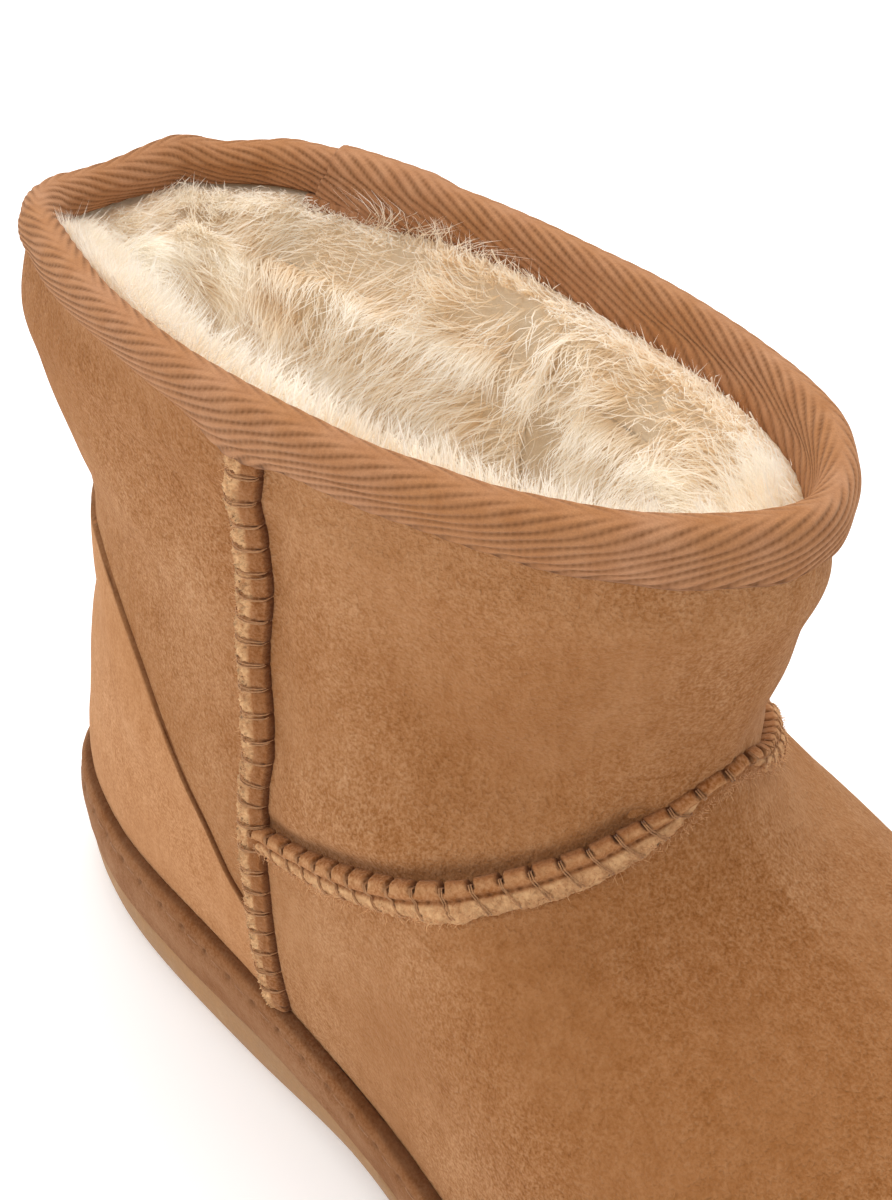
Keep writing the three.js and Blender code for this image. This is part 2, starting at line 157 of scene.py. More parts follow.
# ---- curves and the skin ----
def spline(points, closed, places):
    """Centripetal Catmull-Rom through points, read at places that are counted in points."""
    points = np.asarray(points, float)
    places = np.asarray(places, float)
    count = len(points)
    start = np.floor(places).astype(int)
    if closed:
        corners = [points[(start + step) % count] for step in (-1, 0, 1, 2)]
    else:
        start = np.clip(start, 0, count - 2)
        before = 2 * points[:1] - points[1:2]
        after = 2 * points[-1:] - points[-2:-1]
        padded = np.concatenate([before, points, after])
        corners = [padded[start + step] for step in (0, 1, 2, 3)]
    share = (places - start).reshape((-1,) + (1,) * (points.ndim - 1))
    gaps = [np.sum((b - a) ** 2, -1, keepdims=True) ** 0.25 for a, b in zip(corners, corners[1:])]
    middle = np.maximum(gaps[1], 1e-4)
    first = np.where(gaps[0] < 1e-4, middle, gaps[0])
    last = np.where(gaps[2] < 1e-4, middle, gaps[2])
    a, b, c, d = corners
    leave = ((b - a) / first - (c - a) / (first + middle) + (c - b) / middle) * middle
    arrive = ((c - b) / middle - (d - b) / (middle + last) + (d - c) / last) * middle
    square = share * share
    return (b + leave * share + (-3 * b + 3 * c - 2 * leave - arrive) * square
            + (2 * b - 2 * c + leave + arrive) * square * share)


def line_height(name):
    """Height of a line along the shoe as a function of X."""
    knots = np.array(LINES[name], float)
    drawn = spline(knots, False, np.linspace(0, len(knots) - 1, 400))
    return lambda x: np.interp(x, drawn[:, 0], drawn[:, 1]) + HEEL_HEIGHT


HEIGHTS = {name: line_height(name) for name in LINES}


def section_points(row):
    """The points of one closed section: back, outer side, front, inner side."""
    part = dict(zip(SECTION_FIELDS, row))
    height = HEIGHTS[part["line"]]

    def place(along, side):
        x = part["back_x"] + (part["front_x"] - part["back_x"]) * along
        straight = part["back_z"] + (part["front_z"] - part["back_z"]) * along
        dipped = height(x) - height(part["back_x"]) + part["back_z"]
        z = straight + (dipped - straight) * part["follow"]
        return [x, part["front_y"] * along**2 + side, float(z)]

    outer = [place(along, -half) for along, half in zip(STATIONS, part["out"])]
    inner = [place(along, half) for along, half in zip(STATIONS, part["inn"])]
    return [place(0, 0), *outer, place(1, 0), *inner[::-1]]


def surface(around, rings):
    """A grid of points over the boot: rings from feather edge to collar, each read at the same places."""
    places = np.arange(around) * LOOP_POINTS / around
    loops = np.array([spline(section_points(row), True, places) for row in SECTIONS.values()])
    return spline(loops, False, np.linspace(0, LAST_SECTION, rings + 1))


def facing(grid):
    """Unit normals of a grid that closes on itself around."""
    along = np.roll(grid, -1, 1) - np.roll(grid, 1, 1)
    up = np.gradient(grid, axis=0)
    normal = np.cross(along, up)
    return normal / np.linalg.norm(normal, axis=-1, keepdims=True)


def distance_to(points, line):
    """Distance of points to a line of X and Z points, in the side view."""
    best = np.full(points.shape[:-1], 1e9)
    for a, b in zip(np.array(line[:-1], float), np.array(line[1:], float)):
        run = b - a
        share = np.clip(((points - a) @ run) / (run @ run), 0, 1)
        best = np.minimum(best, np.linalg.norm(points - a - share[..., None] * run, axis=-1))
    return best


def lattice(rng, around, up, cells_around, cells_up):
    """Smooth random values from about -1 to 1 over the skin, closed around."""
    values = rng.uniform(-1, 1, (cells_up + 2, cells_around))
    x = (np.asarray(around) % 1.0) * cells_around
    y = np.clip(np.asarray(up), 0, 1) * cells_up
    column = np.floor(x).astype(int)
    row = np.floor(y).astype(int)
    fx = x - column
    fy = y - row
    fx = fx * fx * (3 - 2 * fx)
    fy = fy * fy * (3 - 2 * fy)
    after = (column + 1) % cells_around
    column = column % cells_around
    low = values[row, column] * (1 - fx) + values[row, after] * fx
    high = values[row + 1, column] * (1 - fx) + values[row + 1, after] * fx
    return low * (1 - fy) + high * fy


class Skin:
    """The outside of the upper, with its soft forms, as a surface read at places around and up."""

    AROUND = 672
    RINGS = 308

    def __init__(self):
        grid = surface(self.AROUND, self.RINGS)
        normal = facing(grid)
        self.around = np.arange(self.AROUND) / self.AROUND
        self.up = np.linspace(0, 1, self.RINGS + 1)
        around, up = np.meshgrid(self.around, self.up)
        self.points = grid + normal * self.soft_forms(grid, around, up)[..., None]
        self.normals = facing(self.points)

    def soft_forms(self, grid, around, up):
        side_view = grid[..., [0, 2]]
        outer = around < 0.5
        total = np.zeros(grid.shape[:2])
        for _, side, depth, width, line in SOFT_FORMS:
            form = depth * np.exp(-((distance_to(side_view, line) / width) ** 2))
            total += np.where(outer, form * (side <= 0), form * (side >= 0))
        for x, y, depth in COLLAR_CORNERS:
            away = np.hypot(grid[..., 0] - x, grid[..., 1] - y)
            total += depth * np.exp(-((away / 5.0) ** 2)) * np.clip((up - 0.78) / 0.2, 0, 1)
        rng = draws("skin")
        edges = np.clip(up * 8, 0, 1) * np.clip((1 - up) * 12, 0, 1)
        total += edges * 0.5 * lattice(rng, around, up, 14, 9)
        total += edges * 0.22 * lattice(rng, around, up, 34, 22)
        return total

    def read(self, table, around, up):
        x = (np.asarray(around, float) % 1.0) * self.AROUND
        y = np.clip(np.asarray(up, float), 0, 1) * self.RINGS
        column = np.floor(x).astype(int) % self.AROUND
        row = np.minimum(np.floor(y).astype(int), self.RINGS - 1)
        fx = (x - np.floor(x))[..., None]
        fy = (y - row)[..., None]
        after = (column + 1) % self.AROUND
        low = table[row, column] * (1 - fx) + table[row, after] * fx
        high = table[row + 1, column] * (1 - fx) + table[row + 1, after] * fx
        return low * (1 - fy) + high * fy

    def at(self, around, up, out=0.0):
        """Points at places on the skin, moved out along its normal."""
        out = np.asarray(out, float)
        return self.read(self.points, around, up) + self.normal(around, up) * out[..., None]

    def normal(self, around, up):
        normal = self.read(self.normals, around, up)
        return normal / np.linalg.norm(normal, axis=-1, keepdims=True)

    def find(self, points, side):
        """Places (around, up) of points of the side view, on the outer (-1) or inner (1) side."""
        half = self.AROUND // 2
        columns = slice(0, half + 1) if side < 0 else slice(half, self.AROUND)
        first = 0 if side < 0 else half
        view = self.points[:, columns][..., [0, 2]]
        places = []
        for point in np.asarray(points, float):
            away = np.sum((view - point) ** 2, -1)
            row, column = np.unravel_index(np.argmin(away), away.shape)
            place = np.array([(column + first) / self.AROUND, row / self.RINGS])
            for _ in range(3):
                here = self.at(*place)[[0, 2]]
                step = np.array([0.0015, 0.003])
                right = (self.at(place[0] + step[0], place[1])[[0, 2]] - here) / step[0]
                rise = (self.at(place[0], place[1] + step[1])[[0, 2]] - here) / step[1]
                jacobian = np.array([right, rise]).T
                if abs(np.linalg.det(jacobian)) < 1e3:
                    break
                move = np.linalg.solve(jacobian, point - here)
                place = place + np.clip(move, -0.01, 0.01)
            places.append(place)
        return np.array(places)

    def height_where(self, around, height):
        """How far up each place around is where its height first passes a line given over X."""
        ups = np.linspace(0, 1, 700)
        grid = self.at(np.asarray(around)[:, None], ups[None, :])
        above = grid[..., 2] - height(grid[..., 0]) > 0
        return ups[np.argmax(above, axis=1)]

    def nearest_around(self, x, y, up):
        ring = self.at(self.around, np.full(self.AROUND, up))
        return self.around[np.argmin(np.hypot(ring[:, 0] - x, ring[:, 1] - y))]


SKIN = Skin()
WALLS = [row[SECTION_FIELDS.index("wall")] for row in SECTIONS.values()]
FRAME_RINGS_LOW = surface(FRAME_AROUND, FRAME_RINGS).reshape(-1, 3).min(0)
UPPER_LOW = np.array(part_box("upper")[0]) / MM
SHIFT = np.array([UPPER_LOW[0] - FRAME_RINGS_LOW[0], UPPER_LOW[1] - FRAME_RINGS_LOW[1], 0.0])


def wall_at(up):
    return np.interp(np.asarray(up) * LAST_SECTION, range(len(WALLS)), WALLS)


def up_of(name, beyond=0.0):
    """Place up the skin of a named section, and a share of the way to the next."""
    return (list(SECTIONS).index(name) + beyond) / LAST_SECTION


# ---- meshes ----
def grid_faces(rows, columns, close_rows=False, close_columns=False, first=0):
    """Four-sided faces of a grid of points that is stored row after row."""
    row = np.arange(rows if close_rows else rows - 1)[:, None]
    column = np.arange(columns if close_columns else columns - 1)[None, :]
    next_row = (row + 1) % rows
    next_column = (column + 1) % columns
    corners = [row * columns + column, row * columns + next_column,
               next_row * columns + next_column, next_row * columns + column]
    return np.stack(corners, -1).reshape(-1, 4) + first


def new_piece(name, points, faces, material, values=None, uv=None):
    """A mesh that rides on the boot, from points in pattern millimetres and arrays of faces."""
    points = (np.asarray(points, float).reshape(-1, 3) + SHIFT) * MM
    groups = faces if isinstance(faces, (list, tuple)) else [faces]
    groups = [np.asarray(group) for group in groups if len(group)]
    corners = np.concatenate([group.ravel() for group in groups])
    lengths = np.concatenate([np.full(len(group), group.shape[1]) for group in groups])
    mesh = bpy.data.meshes.new(name)
    mesh.vertices.add(len(points))
    mesh.vertices.foreach_set("co", points.astype(np.float32).ravel())
    mesh.loops.add(len(corners))
    mesh.loops.foreach_set("vertex_index", corners.astype(np.int32))
    mesh.polygons.add(len(lengths))
    starts = np.concatenate([[0], np.cumsum(lengths)[:-1]])
    mesh.polygons.foreach_set("loop_start", starts.astype(np.int32))
    mesh.polygons.foreach_set("use_smooth", np.ones(len(lengths), bool))
    mesh.update(calc_edges=True)
    for key, value in (values or {}).items():
        layer = mesh.attributes.new(key, "FLOAT", "POINT")
        layer.data.foreach_set("value", np.asarray(value, np.float32).ravel())
    if uv is not None:
        layer = mesh.uv_layers.new(name="UVMap")
        layer.data.foreach_set("uv", np.asarray(uv, np.float32).reshape(-1, 2)[corners].ravel())
    piece = bpy.data.objects.new(name, mesh)
    bpy.context.scene.collection.objects.link(piece)
    piece.data.materials.append(material)
    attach(piece, BODY)
    return piece


def tube_points(path, radius, sides):
    """Rings of points round paths: path is (tubes, points, 3)."""
    path = np.asarray(path, float)
    along = np.gradient(path, axis=1)
    along /= np.linalg.norm(along, axis=-1, keepdims=True) + 1e-9
    helper = np.where(np.abs(along[..., 2:3]) > 0.8, [[1.0, 0, 0]], [[0, 0, 1.0]])
    side = np.cross(along, helper)
    side /= np.linalg.norm(side, axis=-1, keepdims=True) + 1e-9
    other = np.cross(along, side)
    turn = np.arange(sides) * 2 * math.pi / sides
    ring = side[:, :, None] * np.cos(turn)[:, None] + other[:, :, None] * np.sin(turn)[:, None]
    return path[:, :, None] + ring * radius


def tubes(paths, radius, sides=6):
    """Points and faces of round threads, closed at both ends, along paths of equal length."""
    paths = np.asarray(paths, float)
    count, steps = paths.shape[:2]
    points = tube_points(paths, radius, sides)
    body = grid_faces(steps, sides, close_columns=True)
    offsets = np.arange(count)[:, None, None] * steps * sides
    quads = (body[None] + offsets).reshape(-1, 4)
    cap = np.stack([np.arange(sides)[::-1], (steps - 1) * sides + np.arange(sides)])
    caps = (cap[None] + offsets).reshape(-1, sides)
    return points.reshape(-1, 3), [quads, caps]


def strand_mesh(paths, widths, rng, face=None):
    """Flat tapering fibres: paths is (fibres, points, 3); the last point is the tip."""
    paths = np.asarray(paths, float)
    count, steps = paths.shape[:2]
    along = paths[:, -1] - paths[:, 0]
    turned = rng.normal(size=(count, 3))
    side = np.cross(along, turned if face is None else 0.45 * turned + face)
    side /= np.linalg.norm(side, axis=-1, keepdims=True) + 1e-9
    taper = 1 - 0.55 * (np.arange(steps - 1) / (steps - 1)) ** 1.5
    half = side[:, None] * (np.asarray(widths)[:, None, None] * taper[None, :, None] / 2)
    low = paths[:, :-1] - half
    high = paths[:, :-1] + half
    body = np.stack([low, high], 2).reshape(count, -1, 3)
    points = np.concatenate([body, paths[:, -1:]], 1)
    size = points.shape[1]
    quad = np.array([[2 * k, 2 * k + 1, 2 * k + 3, 2 * k + 2] for k in range(steps - 2)])
    tip = np.array([[2 * (steps - 2), 2 * (steps - 2) + 1, 2 * (steps - 1)]])
    offsets = np.arange(count)[:, None, None] * size
    share = np.concatenate([np.repeat(np.arange(steps - 1), 2), [steps - 1]]) / (steps - 1)
    faces = [(quad[None] + offsets).reshape(-1, 4), (tip[None] + offsets).reshape(-1, 3)]
    return points.reshape(-1, 3), faces, np.tile(share, count), size


# ---- finishes ----
def from_srgb(red, green, blue):
    """A shader colour from the 0 to 255 values of a swatch."""
    channels = np.array([red, green, blue]) / 255
    linear = np.where(channels <= 0.04045, channels / 12.92, ((channels + 0.055) / 1.055) ** 2.4)
    return tuple(float(value) for value in linear)


def add_node(tree, kind, inputs=None, **settings):
    """A node with its settings; inputs are values, or sockets to link from."""
    made = tree.nodes.new(kind)
    for key, value in settings.items():
        setattr(made, key, value)
    for key, value in (inputs or {}).items():
        if isinstance(value, bpy.types.NodeSocket):
            tree.links.new(value, made.inputs[key])
        else:
            made.inputs[key].default_value = value
    return made


def new_group(name, inputs, outputs):
    """An empty node group with named sockets, and its input and output nodes."""
    tree = bpy.data.node_groups.new(name, "ShaderNodeTree")
    for direction, sockets in (("INPUT", inputs), ("OUTPUT", outputs)):
        for label, kind, *default in sockets:
            socket = tree.interface.new_socket(name=label, in_out=direction, socket_type="NodeSocket" + kind)
            if default:
                socket.default_value = default[0]
    return tree, tree.nodes.new("NodeGroupInput"), tree.nodes.new("NodeGroupOutput")


def noise(tree, place, scale, detail=2.0, rough=0.5):
    settings = {"Vector": place, "Scale": scale, "Detail": detail, "Roughness": rough}
    return add_node(tree, "ShaderNodeTexNoise", settings).outputs["Fac"]


def math_node(tree, operation, first, second=0.5):
    return add_node(tree, "ShaderNodeMath", {0: first, 1: second}, operation=operation).outputs[0]


def ramp(tree, value, low, high, to_low=0.0, to_high=1.0):
    inputs = {"Value": value, "From Min": low, "From Max": high, "To Min": to_low, "To Max": to_high}
    return add_node(tree, "ShaderNodeMapRange", inputs).outputs["Result"]


def mix_colour(tree, share, first, second, blend="MIX"):
    made = add_node(tree, "ShaderNodeMix", data_type="RGBA", blend_type=blend)
    for key, value in ((0, share), (6, first), (7, second)):
        if isinstance(value, bpy.types.NodeSocket):
            tree.links.new(value, made.inputs[key])
        elif isinstance(value, tuple) and len(value) == 3:
            made.inputs[key].default_value = (*value, 1.0)
        else:
            made.inputs[key].default_value = value
    return made.outputs[2]


def toned(tree, colour, value):
    """A colour made lighter or darker by a value."""
    return add_node(tree, "ShaderNodeHueSaturation", {"Color": colour, "Value": value}).outputs["Color"]


def nap_group():
    """Brushed suede: clouds where the nap lies differently, fine speckle, the height of both, and painted
    shade that darkens creases, gaps and stitch holes.
    """
    found = bpy.data.node_groups.get("Suede Nap")
    if found:
        return found
    inputs = (("Colour", "Color"), ("Shade", "Float", 0.0), ("Crease", "Float", 0.0), ("Cloud", "Float", 0.5),
              ("Speckle", "Float", 0.5), ("Grain Scale", "Float", 1900.0))
    outputs = (("Colour", "Color"), ("Height", "Float"), ("Roughness", "Float"))
    tree, given, result = new_group("Suede Nap", inputs, outputs)
    place = add_node(tree, "ShaderNodeTexCoord").outputs["Object"]
    cloud = noise(tree, place, 42.0, 4.0, 0.62)
    brushed = add_node(tree, "ShaderNodeMapping", {"Vector": place, "Scale": (1.0, 1.0, 0.45)}).outputs[0]
    streak = noise(tree, brushed, 330.0, 3.0, 0.6)
    grain_scale = given.outputs["Grain Scale"]
    grain = noise(tree, place, grain_scale, 2.0, 0.65)
    coarse_scale = math_node(tree, "MULTIPLY", grain_scale, 0.36)
    coarse = noise(tree, place, coarse_scale, 2.0, 0.6)
    lean = math_node(tree, "ADD", math_node(tree, "MULTIPLY", given.outputs["Shade"], 0.5), cloud)
    swing = ramp(tree, lean, 0.22, 0.78, -1.0, 1.0)
    swing = math_node(tree, "MULTIPLY", swing, given.outputs["Cloud"])
    streaks = ramp(tree, streak, 0.25, 0.75, -0.35, 0.35)
    speck = math_node(tree, "ADD", ramp(tree, grain, 0.36, 0.64, -0.8, 0.8),
                      ramp(tree, coarse, 0.3, 0.7, -0.4, 0.4))
    rough = ramp(tree, noise(tree, place, 24.0, 2.0, 0.5), 0.38, 0.62, 0.35, 1.15)
    speck = math_node(tree, "MULTIPLY", speck, math_node(tree, "MULTIPLY", rough, given.outputs["Speckle"]))
    tone = math_node(tree, "ADD", math_node(tree, "ADD", swing, streaks), speck)
    value = ramp(tree, tone, -1.6, 1.6, 0.62, 1.40)
    hue = ramp(tree, tone, -1.5, 1.5, 0.492, 0.505)
    saturation = ramp(tree, tone, -1.5, 1.5, 1.12, 0.90)
    settings = {"Color": given.outputs["Colour"], "Value": value, "Hue": hue, "Saturation": saturation}
    colour = add_node(tree, "ShaderNodeHueSaturation", settings).outputs["Color"]
    # Painted shade: creases, gaps and stitch holes are darkened towards deep brown.
    dark = mix_colour(tree, 1.0, colour, (0.22, 0.15, 0.11), "MULTIPLY")
    colour = mix_colour(tree, given.outputs["Crease"], colour, dark)
    height = math_node(tree, "ADD", math_node(tree, "MULTIPLY", grain, 0.6),
                       math_node(tree, "MULTIPLY", coarse, 0.8))
    height = math_node(tree, "ADD", height, math_node(tree, "MULTIPLY", streak, 0.5))
    tree.links.new(colour, result.inputs["Colour"])
    tree.links.new(height, result.inputs["Height"])
    tree.links.new(ramp(tree, tone, -1.5, 1.5, 0.98, 0.82), result.inputs["Roughness"])
    return tree


def rubbed_group():
    """Light raised fibres on ridges and raw edges."""
    found = bpy.data.node_groups.get("Rubbed Edge")
    if found:
        return found
    inputs = (("Colour", "Color"), ("Rubbed Colour", "Color"), ("Rub", "Float", 0.0))
    tree, given, result = new_group("Rubbed Edge", inputs, (("Colour", "Color"), ("Mask", "Float")))
    place = add_node(tree, "ShaderNodeTexCoord").outputs["Object"]
    patch = noise(tree, place, 520.0, 3.0, 0.7)
    mask = math_node(tree, "MULTIPLY", given.outputs["Rub"], ramp(tree, patch, 0.3, 0.62, 0.25, 1.0))
    colour = mix_colour(tree, mask, given.outputs["Colour"], given.outputs["Rubbed Colour"])
    tree.links.new(colour, result.inputs["Colour"])
    tree.links.new(mask, result.inputs["Mask"])
    return tree


def attribute(tree, name):
    return add_node(tree, "ShaderNodeAttribute", attribute_name=name).outputs["Fac"]


def surface_shader(tree, colour, roughness, normal=None, sheen=0.0, sheen_tint=(1.0, 1.0, 1.0), specular=0.2):
    """The Principled surface of a finish, joined to its output."""
    shader = add_node(tree, "ShaderNodeBsdfPrincipled", {"Sheen Weight": sheen, "Sheen Roughness": 0.55,
                                                         "Specular IOR Level": specular})
    shader.inputs["Sheen Tint"].default_value = (*sheen_tint, 1.0)
    for key, value in (("Base Color", colour), ("Roughness", roughness), ("Normal", normal)):
        if isinstance(value, bpy.types.NodeSocket):
            tree.links.new(value, shader.inputs[key])
        elif value is not None:
            shader.inputs[key].default_value = (*value, 1.0) if isinstance(value, tuple) else value
    output = add_node(tree, "ShaderNodeOutputMaterial")
    tree.links.new(shader.outputs[0], output.inputs["Surface"])
    return shader


def new_material(name):
    made = bpy.data.materials.new(name)
    made.use_nodes = True
    made.node_tree.nodes.clear()
    return made, made.node_tree


def suede_material(name, colour, cloud=0.5, speckle=0.5, grain=1900.0, relief=0.42, rubbed=None, sheen=0.14):
    found = bpy.data.materials.get(name)
    if found:
        return found
    made, tree = new_material(name)
    nap = add_node(tree, "ShaderNodeGroup", node_tree=nap_group())
    given = {"Colour": (*colour, 1.0), "Cloud": cloud, "Speckle": speckle, "Grain Scale": grain}
    for key, value in given.items():
        nap.inputs[key].default_value = value
    for key, layer in (("Shade", "shade"), ("Crease", "painted_shade")):
        tree.links.new(attribute(tree, layer), nap.inputs[key])
    base = nap.outputs["Colour"]
    if rubbed:
        edge = add_node(tree, "ShaderNodeGroup", node_tree=rubbed_group())
        tree.links.new(base, edge.inputs["Colour"])
        tree.links.new(attribute(tree, "rub"), edge.inputs["Rub"])
        edge.inputs["Rubbed Colour"].default_value = (*rubbed, 1.0)
        base = edge.outputs["Colour"]
    bump = add_node(tree, "ShaderNodeBump", {"Height": nap.outputs["Height"], "Strength": 1.0,
                                             "Distance": relief * MM})
    surface_shader(tree, base, nap.outputs["Roughness"], bump.outputs[0], sheen, (0.95, 0.70, 0.46), 0.08)
    return made


def twill_material(name, colour, dark):
    """Diagonal ribs with a dotted line between: UV counts ribs across, and picks along."""
    found = bpy.data.materials.get(name)
    if found:
        return found
    made, tree = new_material(name)
    uv = add_node(tree, "ShaderNodeUVMap", uv_map="UVMap").outputs[0]
    split = add_node(tree, "ShaderNodeSeparateXYZ", {0: uv})
    across = math_node(tree, "FRACT", split.outputs["X"], 0.0)
    from_groove = math_node(tree, "ABSOLUTE", math_node(tree, "SUBTRACT", across, 0.5), 0.0)
    groove = ramp(tree, from_groove, 0.14, 0.46)
    picks = math_node(tree, "SINE", math_node(tree, "MULTIPLY", split.outputs["Y"], 2 * math.pi), 0.0)
    dots = ramp(tree, picks, -0.8, 0.8, 0.68, 1.0)
    place = add_node(tree, "ShaderNodeTexCoord").outputs["Object"]
    uneven_groove_shade = ramp(tree, noise(tree, place, 150.0, 3.0, 0.6), 0.35, 0.65, 0.7, 1.0)
    hole = math_node(tree, "MULTIPLY", math_node(tree, "MULTIPLY", groove, dots), uneven_groove_shade)
    hole = math_node(tree, "MULTIPLY", hole, attribute(tree, "weave"))
    fibre = noise(tree, place, 3800.0, 2.0, 0.6)
    yarn = noise(tree, uv, 1.0, 0.0)
    cloud = noise(tree, place, 70.0, 3.0, 0.6)
    value = math_node(tree, "ADD", ramp(tree, fibre, 0.3, 0.7, 0.90, 1.08),
                      ramp(tree, cloud, 0.3, 0.7, -0.07, 0.07))
    settings = {"Color": (*colour, 1.0), "Value": value,
                "Saturation": ramp(tree, cloud, 0.3, 0.7, 1.06, 0.95)}
    body = add_node(tree, "ShaderNodeHueSaturation", settings).outputs["Color"]
    # Painted shade: the grooves and the holes between picks are coloured dark, more in some places than
    # others.
    body = mix_colour(tree, hole, body, dark)
    edge = add_node(tree, "ShaderNodeGroup", node_tree=nap_group())
    tree.links.new(body, edge.inputs["Colour"])
    tree.links.new(attribute(tree, "painted_shade"), edge.inputs["Crease"])
    for key, amount in (("Cloud", 0.12), ("Speckle", 0.12), ("Grain Scale", 3600.0)):
        edge.inputs[key].default_value = amount
    rise = math_node(tree, "SUBTRACT", math_node(tree, "MULTIPLY", fibre, 0.35),
                     math_node(tree, "MULTIPLY", hole, 0.8))
    rise = math_node(tree, "ADD", rise, math_node(tree, "MULTIPLY", yarn, 0.1))
    bump = add_node(tree, "ShaderNodeBump", {"Height": rise, "Strength": 1.0, "Distance": 0.3 * MM})
    surface_shader(tree, edge.outputs["Colour"], 0.86, bump.outputs[0], 0.12, (0.95, 0.75, 0.55), 0.1)
    return made


WOOL_GLOW = 0.11  # stands in for light scattered inside the wool
WOOL_LETS_THROUGH = 0.38


def fleece_material(name, root, tip, relief=None):
    """Wool: darker and yellower at the skin, cream at the tips, a little different lock by lock."""
    found = bpy.data.materials.get(name)
    if found:
        return found
    made, tree = new_material(name)
    place = add_node(tree, "ShaderNodeTexCoord").outputs["Object"]
    patch = noise(tree, place, 55.0, 3.0, 0.6)
    length = attribute(tree, "length")
    share = math_node(tree, "ADD", math_node(tree, "MULTIPLY", length, 0.75),
                      ramp(tree, patch, 0.3, 0.7, -0.15, 0.3))
    colour = mix_colour(tree, ramp(tree, share, 0.0, 0.75), root, tip)
    value = ramp(tree, attribute(tree, "lock"), 0.0, 1.0, 0.94, 1.04)
    colour = toned(tree, colour, value)
    normal = None
    if relief:
        curls = noise(tree, place, 420.0, 4.0, 0.65)
        bump = add_node(tree, "ShaderNodeBump", {"Height": curls, "Strength": 1.0, "Distance": relief * MM})
        normal = bump.outputs[0]
    shader = surface_shader(tree, colour, 0.85, normal, 0.4, (1.0, 0.95, 0.88), 0.1)
    # Painted glow: the wool gives off a little light in its own colour.
    tree.links.new(colour, shader.inputs["Emission Color"])
    shader.inputs["Emission Strength"].default_value = WOOL_GLOW
    through = add_node(tree, "ShaderNodeBsdfTranslucent", {"Color": colour})
    both = add_node(tree, "ShaderNodeMixShader", {0: WOOL_LETS_THROUGH, 1: shader.outputs[0],
                                                  2: through.outputs[0]})
    output = next(each for each in tree.nodes if each.type == "OUTPUT_MATERIAL")
    tree.links.new(both.outputs[0], output.inputs["Surface"])
    return made


def thread_material(name, colour):
    found = bpy.data.materials.get(name)
    if found:
        return found
    made, tree = new_material(name)
    place = add_node(tree, "ShaderNodeTexCoord").outputs["Object"]
    ply = noise(tree, place, 2400.0, 2.0, 0.6)
    value = ramp(tree, ply, 0.3, 0.7, 0.78, 1.15)
    body = toned(tree, (*colour, 1.0), value)
    bump = add_node(tree, "ShaderNodeBump", {"Height": ply, "Strength": 1.0, "Distance": 0.1 * MM})
    surface_shader(tree, body, 0.75, bump.outputs[0], 0.2, (1.0, 0.9, 0.8), 0.2)
    return made


def foam_material(name, colour):
    """Moulded sole: fine pitted skin, faint flow marks and dust."""
    found = bpy.data.materials.get(name)
    if found:
        return found
    made, tree = new_material(name)
    place = add_node(tree, "ShaderNodeTexCoord").outputs["Object"]
    cloud = noise(tree, place, 60.0, 4.0, 0.6)
    pits = noise(tree, place, 1500.0, 2.0, 0.6)
    tone = math_node(tree, "ADD", ramp(tree, cloud, 0.3, 0.7, 0.88, 1.06),
                     ramp(tree, pits, 0.3, 0.7, -0.06, 0.06))
    body = toned(tree, (*colour, 1.0), tone)
    dust = ramp(tree, noise(tree, place, 190.0, 4.0, 0.7), 0.55, 0.8, 0.0, 0.35)
    body = mix_colour(tree, dust, body, from_srgb(196, 168, 128))
    bump = add_node(tree, "ShaderNodeBump", {"Height": pits, "Strength": 1.0, "Distance": 0.12 * MM})
    surface_shader(tree, body, ramp(tree, cloud, 0.3, 0.7, 0.55, 0.75), bump.outputs[0], 0.0, specular=0.4)
    return made


# ---- places along the boot ----
def even_around(up, count, first=0.0, last=1.0):
    """Places around, spaced evenly along the ring at a height, from one place to another."""
    dense = np.linspace(first, last, 3000)
    ring = SKIN.at(dense, np.full(dense.shape, up))
    length = np.concatenate([[0], np.cumsum(np.linalg.norm(np.diff(ring, axis=0), axis=1))])
    return np.interp(np.linspace(0, length[-1], count), length, dense), length[-1]


def nap_and_painted_light(points):
    """How much lighter or darker the suede is painted at points of the pattern: partly nap, partly painted
    light and shade.
    """
    total = np.zeros(points.shape[:-1])
    for side, x, z, radius, strength in NAP_AND_PAINTED_LIGHT_PATCHES:
        near = np.exp(-((points[..., 0] - x) ** 2 + (points[..., 2] - z) ** 2) / radius**2)
        total += strength * near * ((points[..., 1] < 0) == (side < 0))
    return total


def dent(distance, width):
    return np.exp(-((distance / width) ** 2))


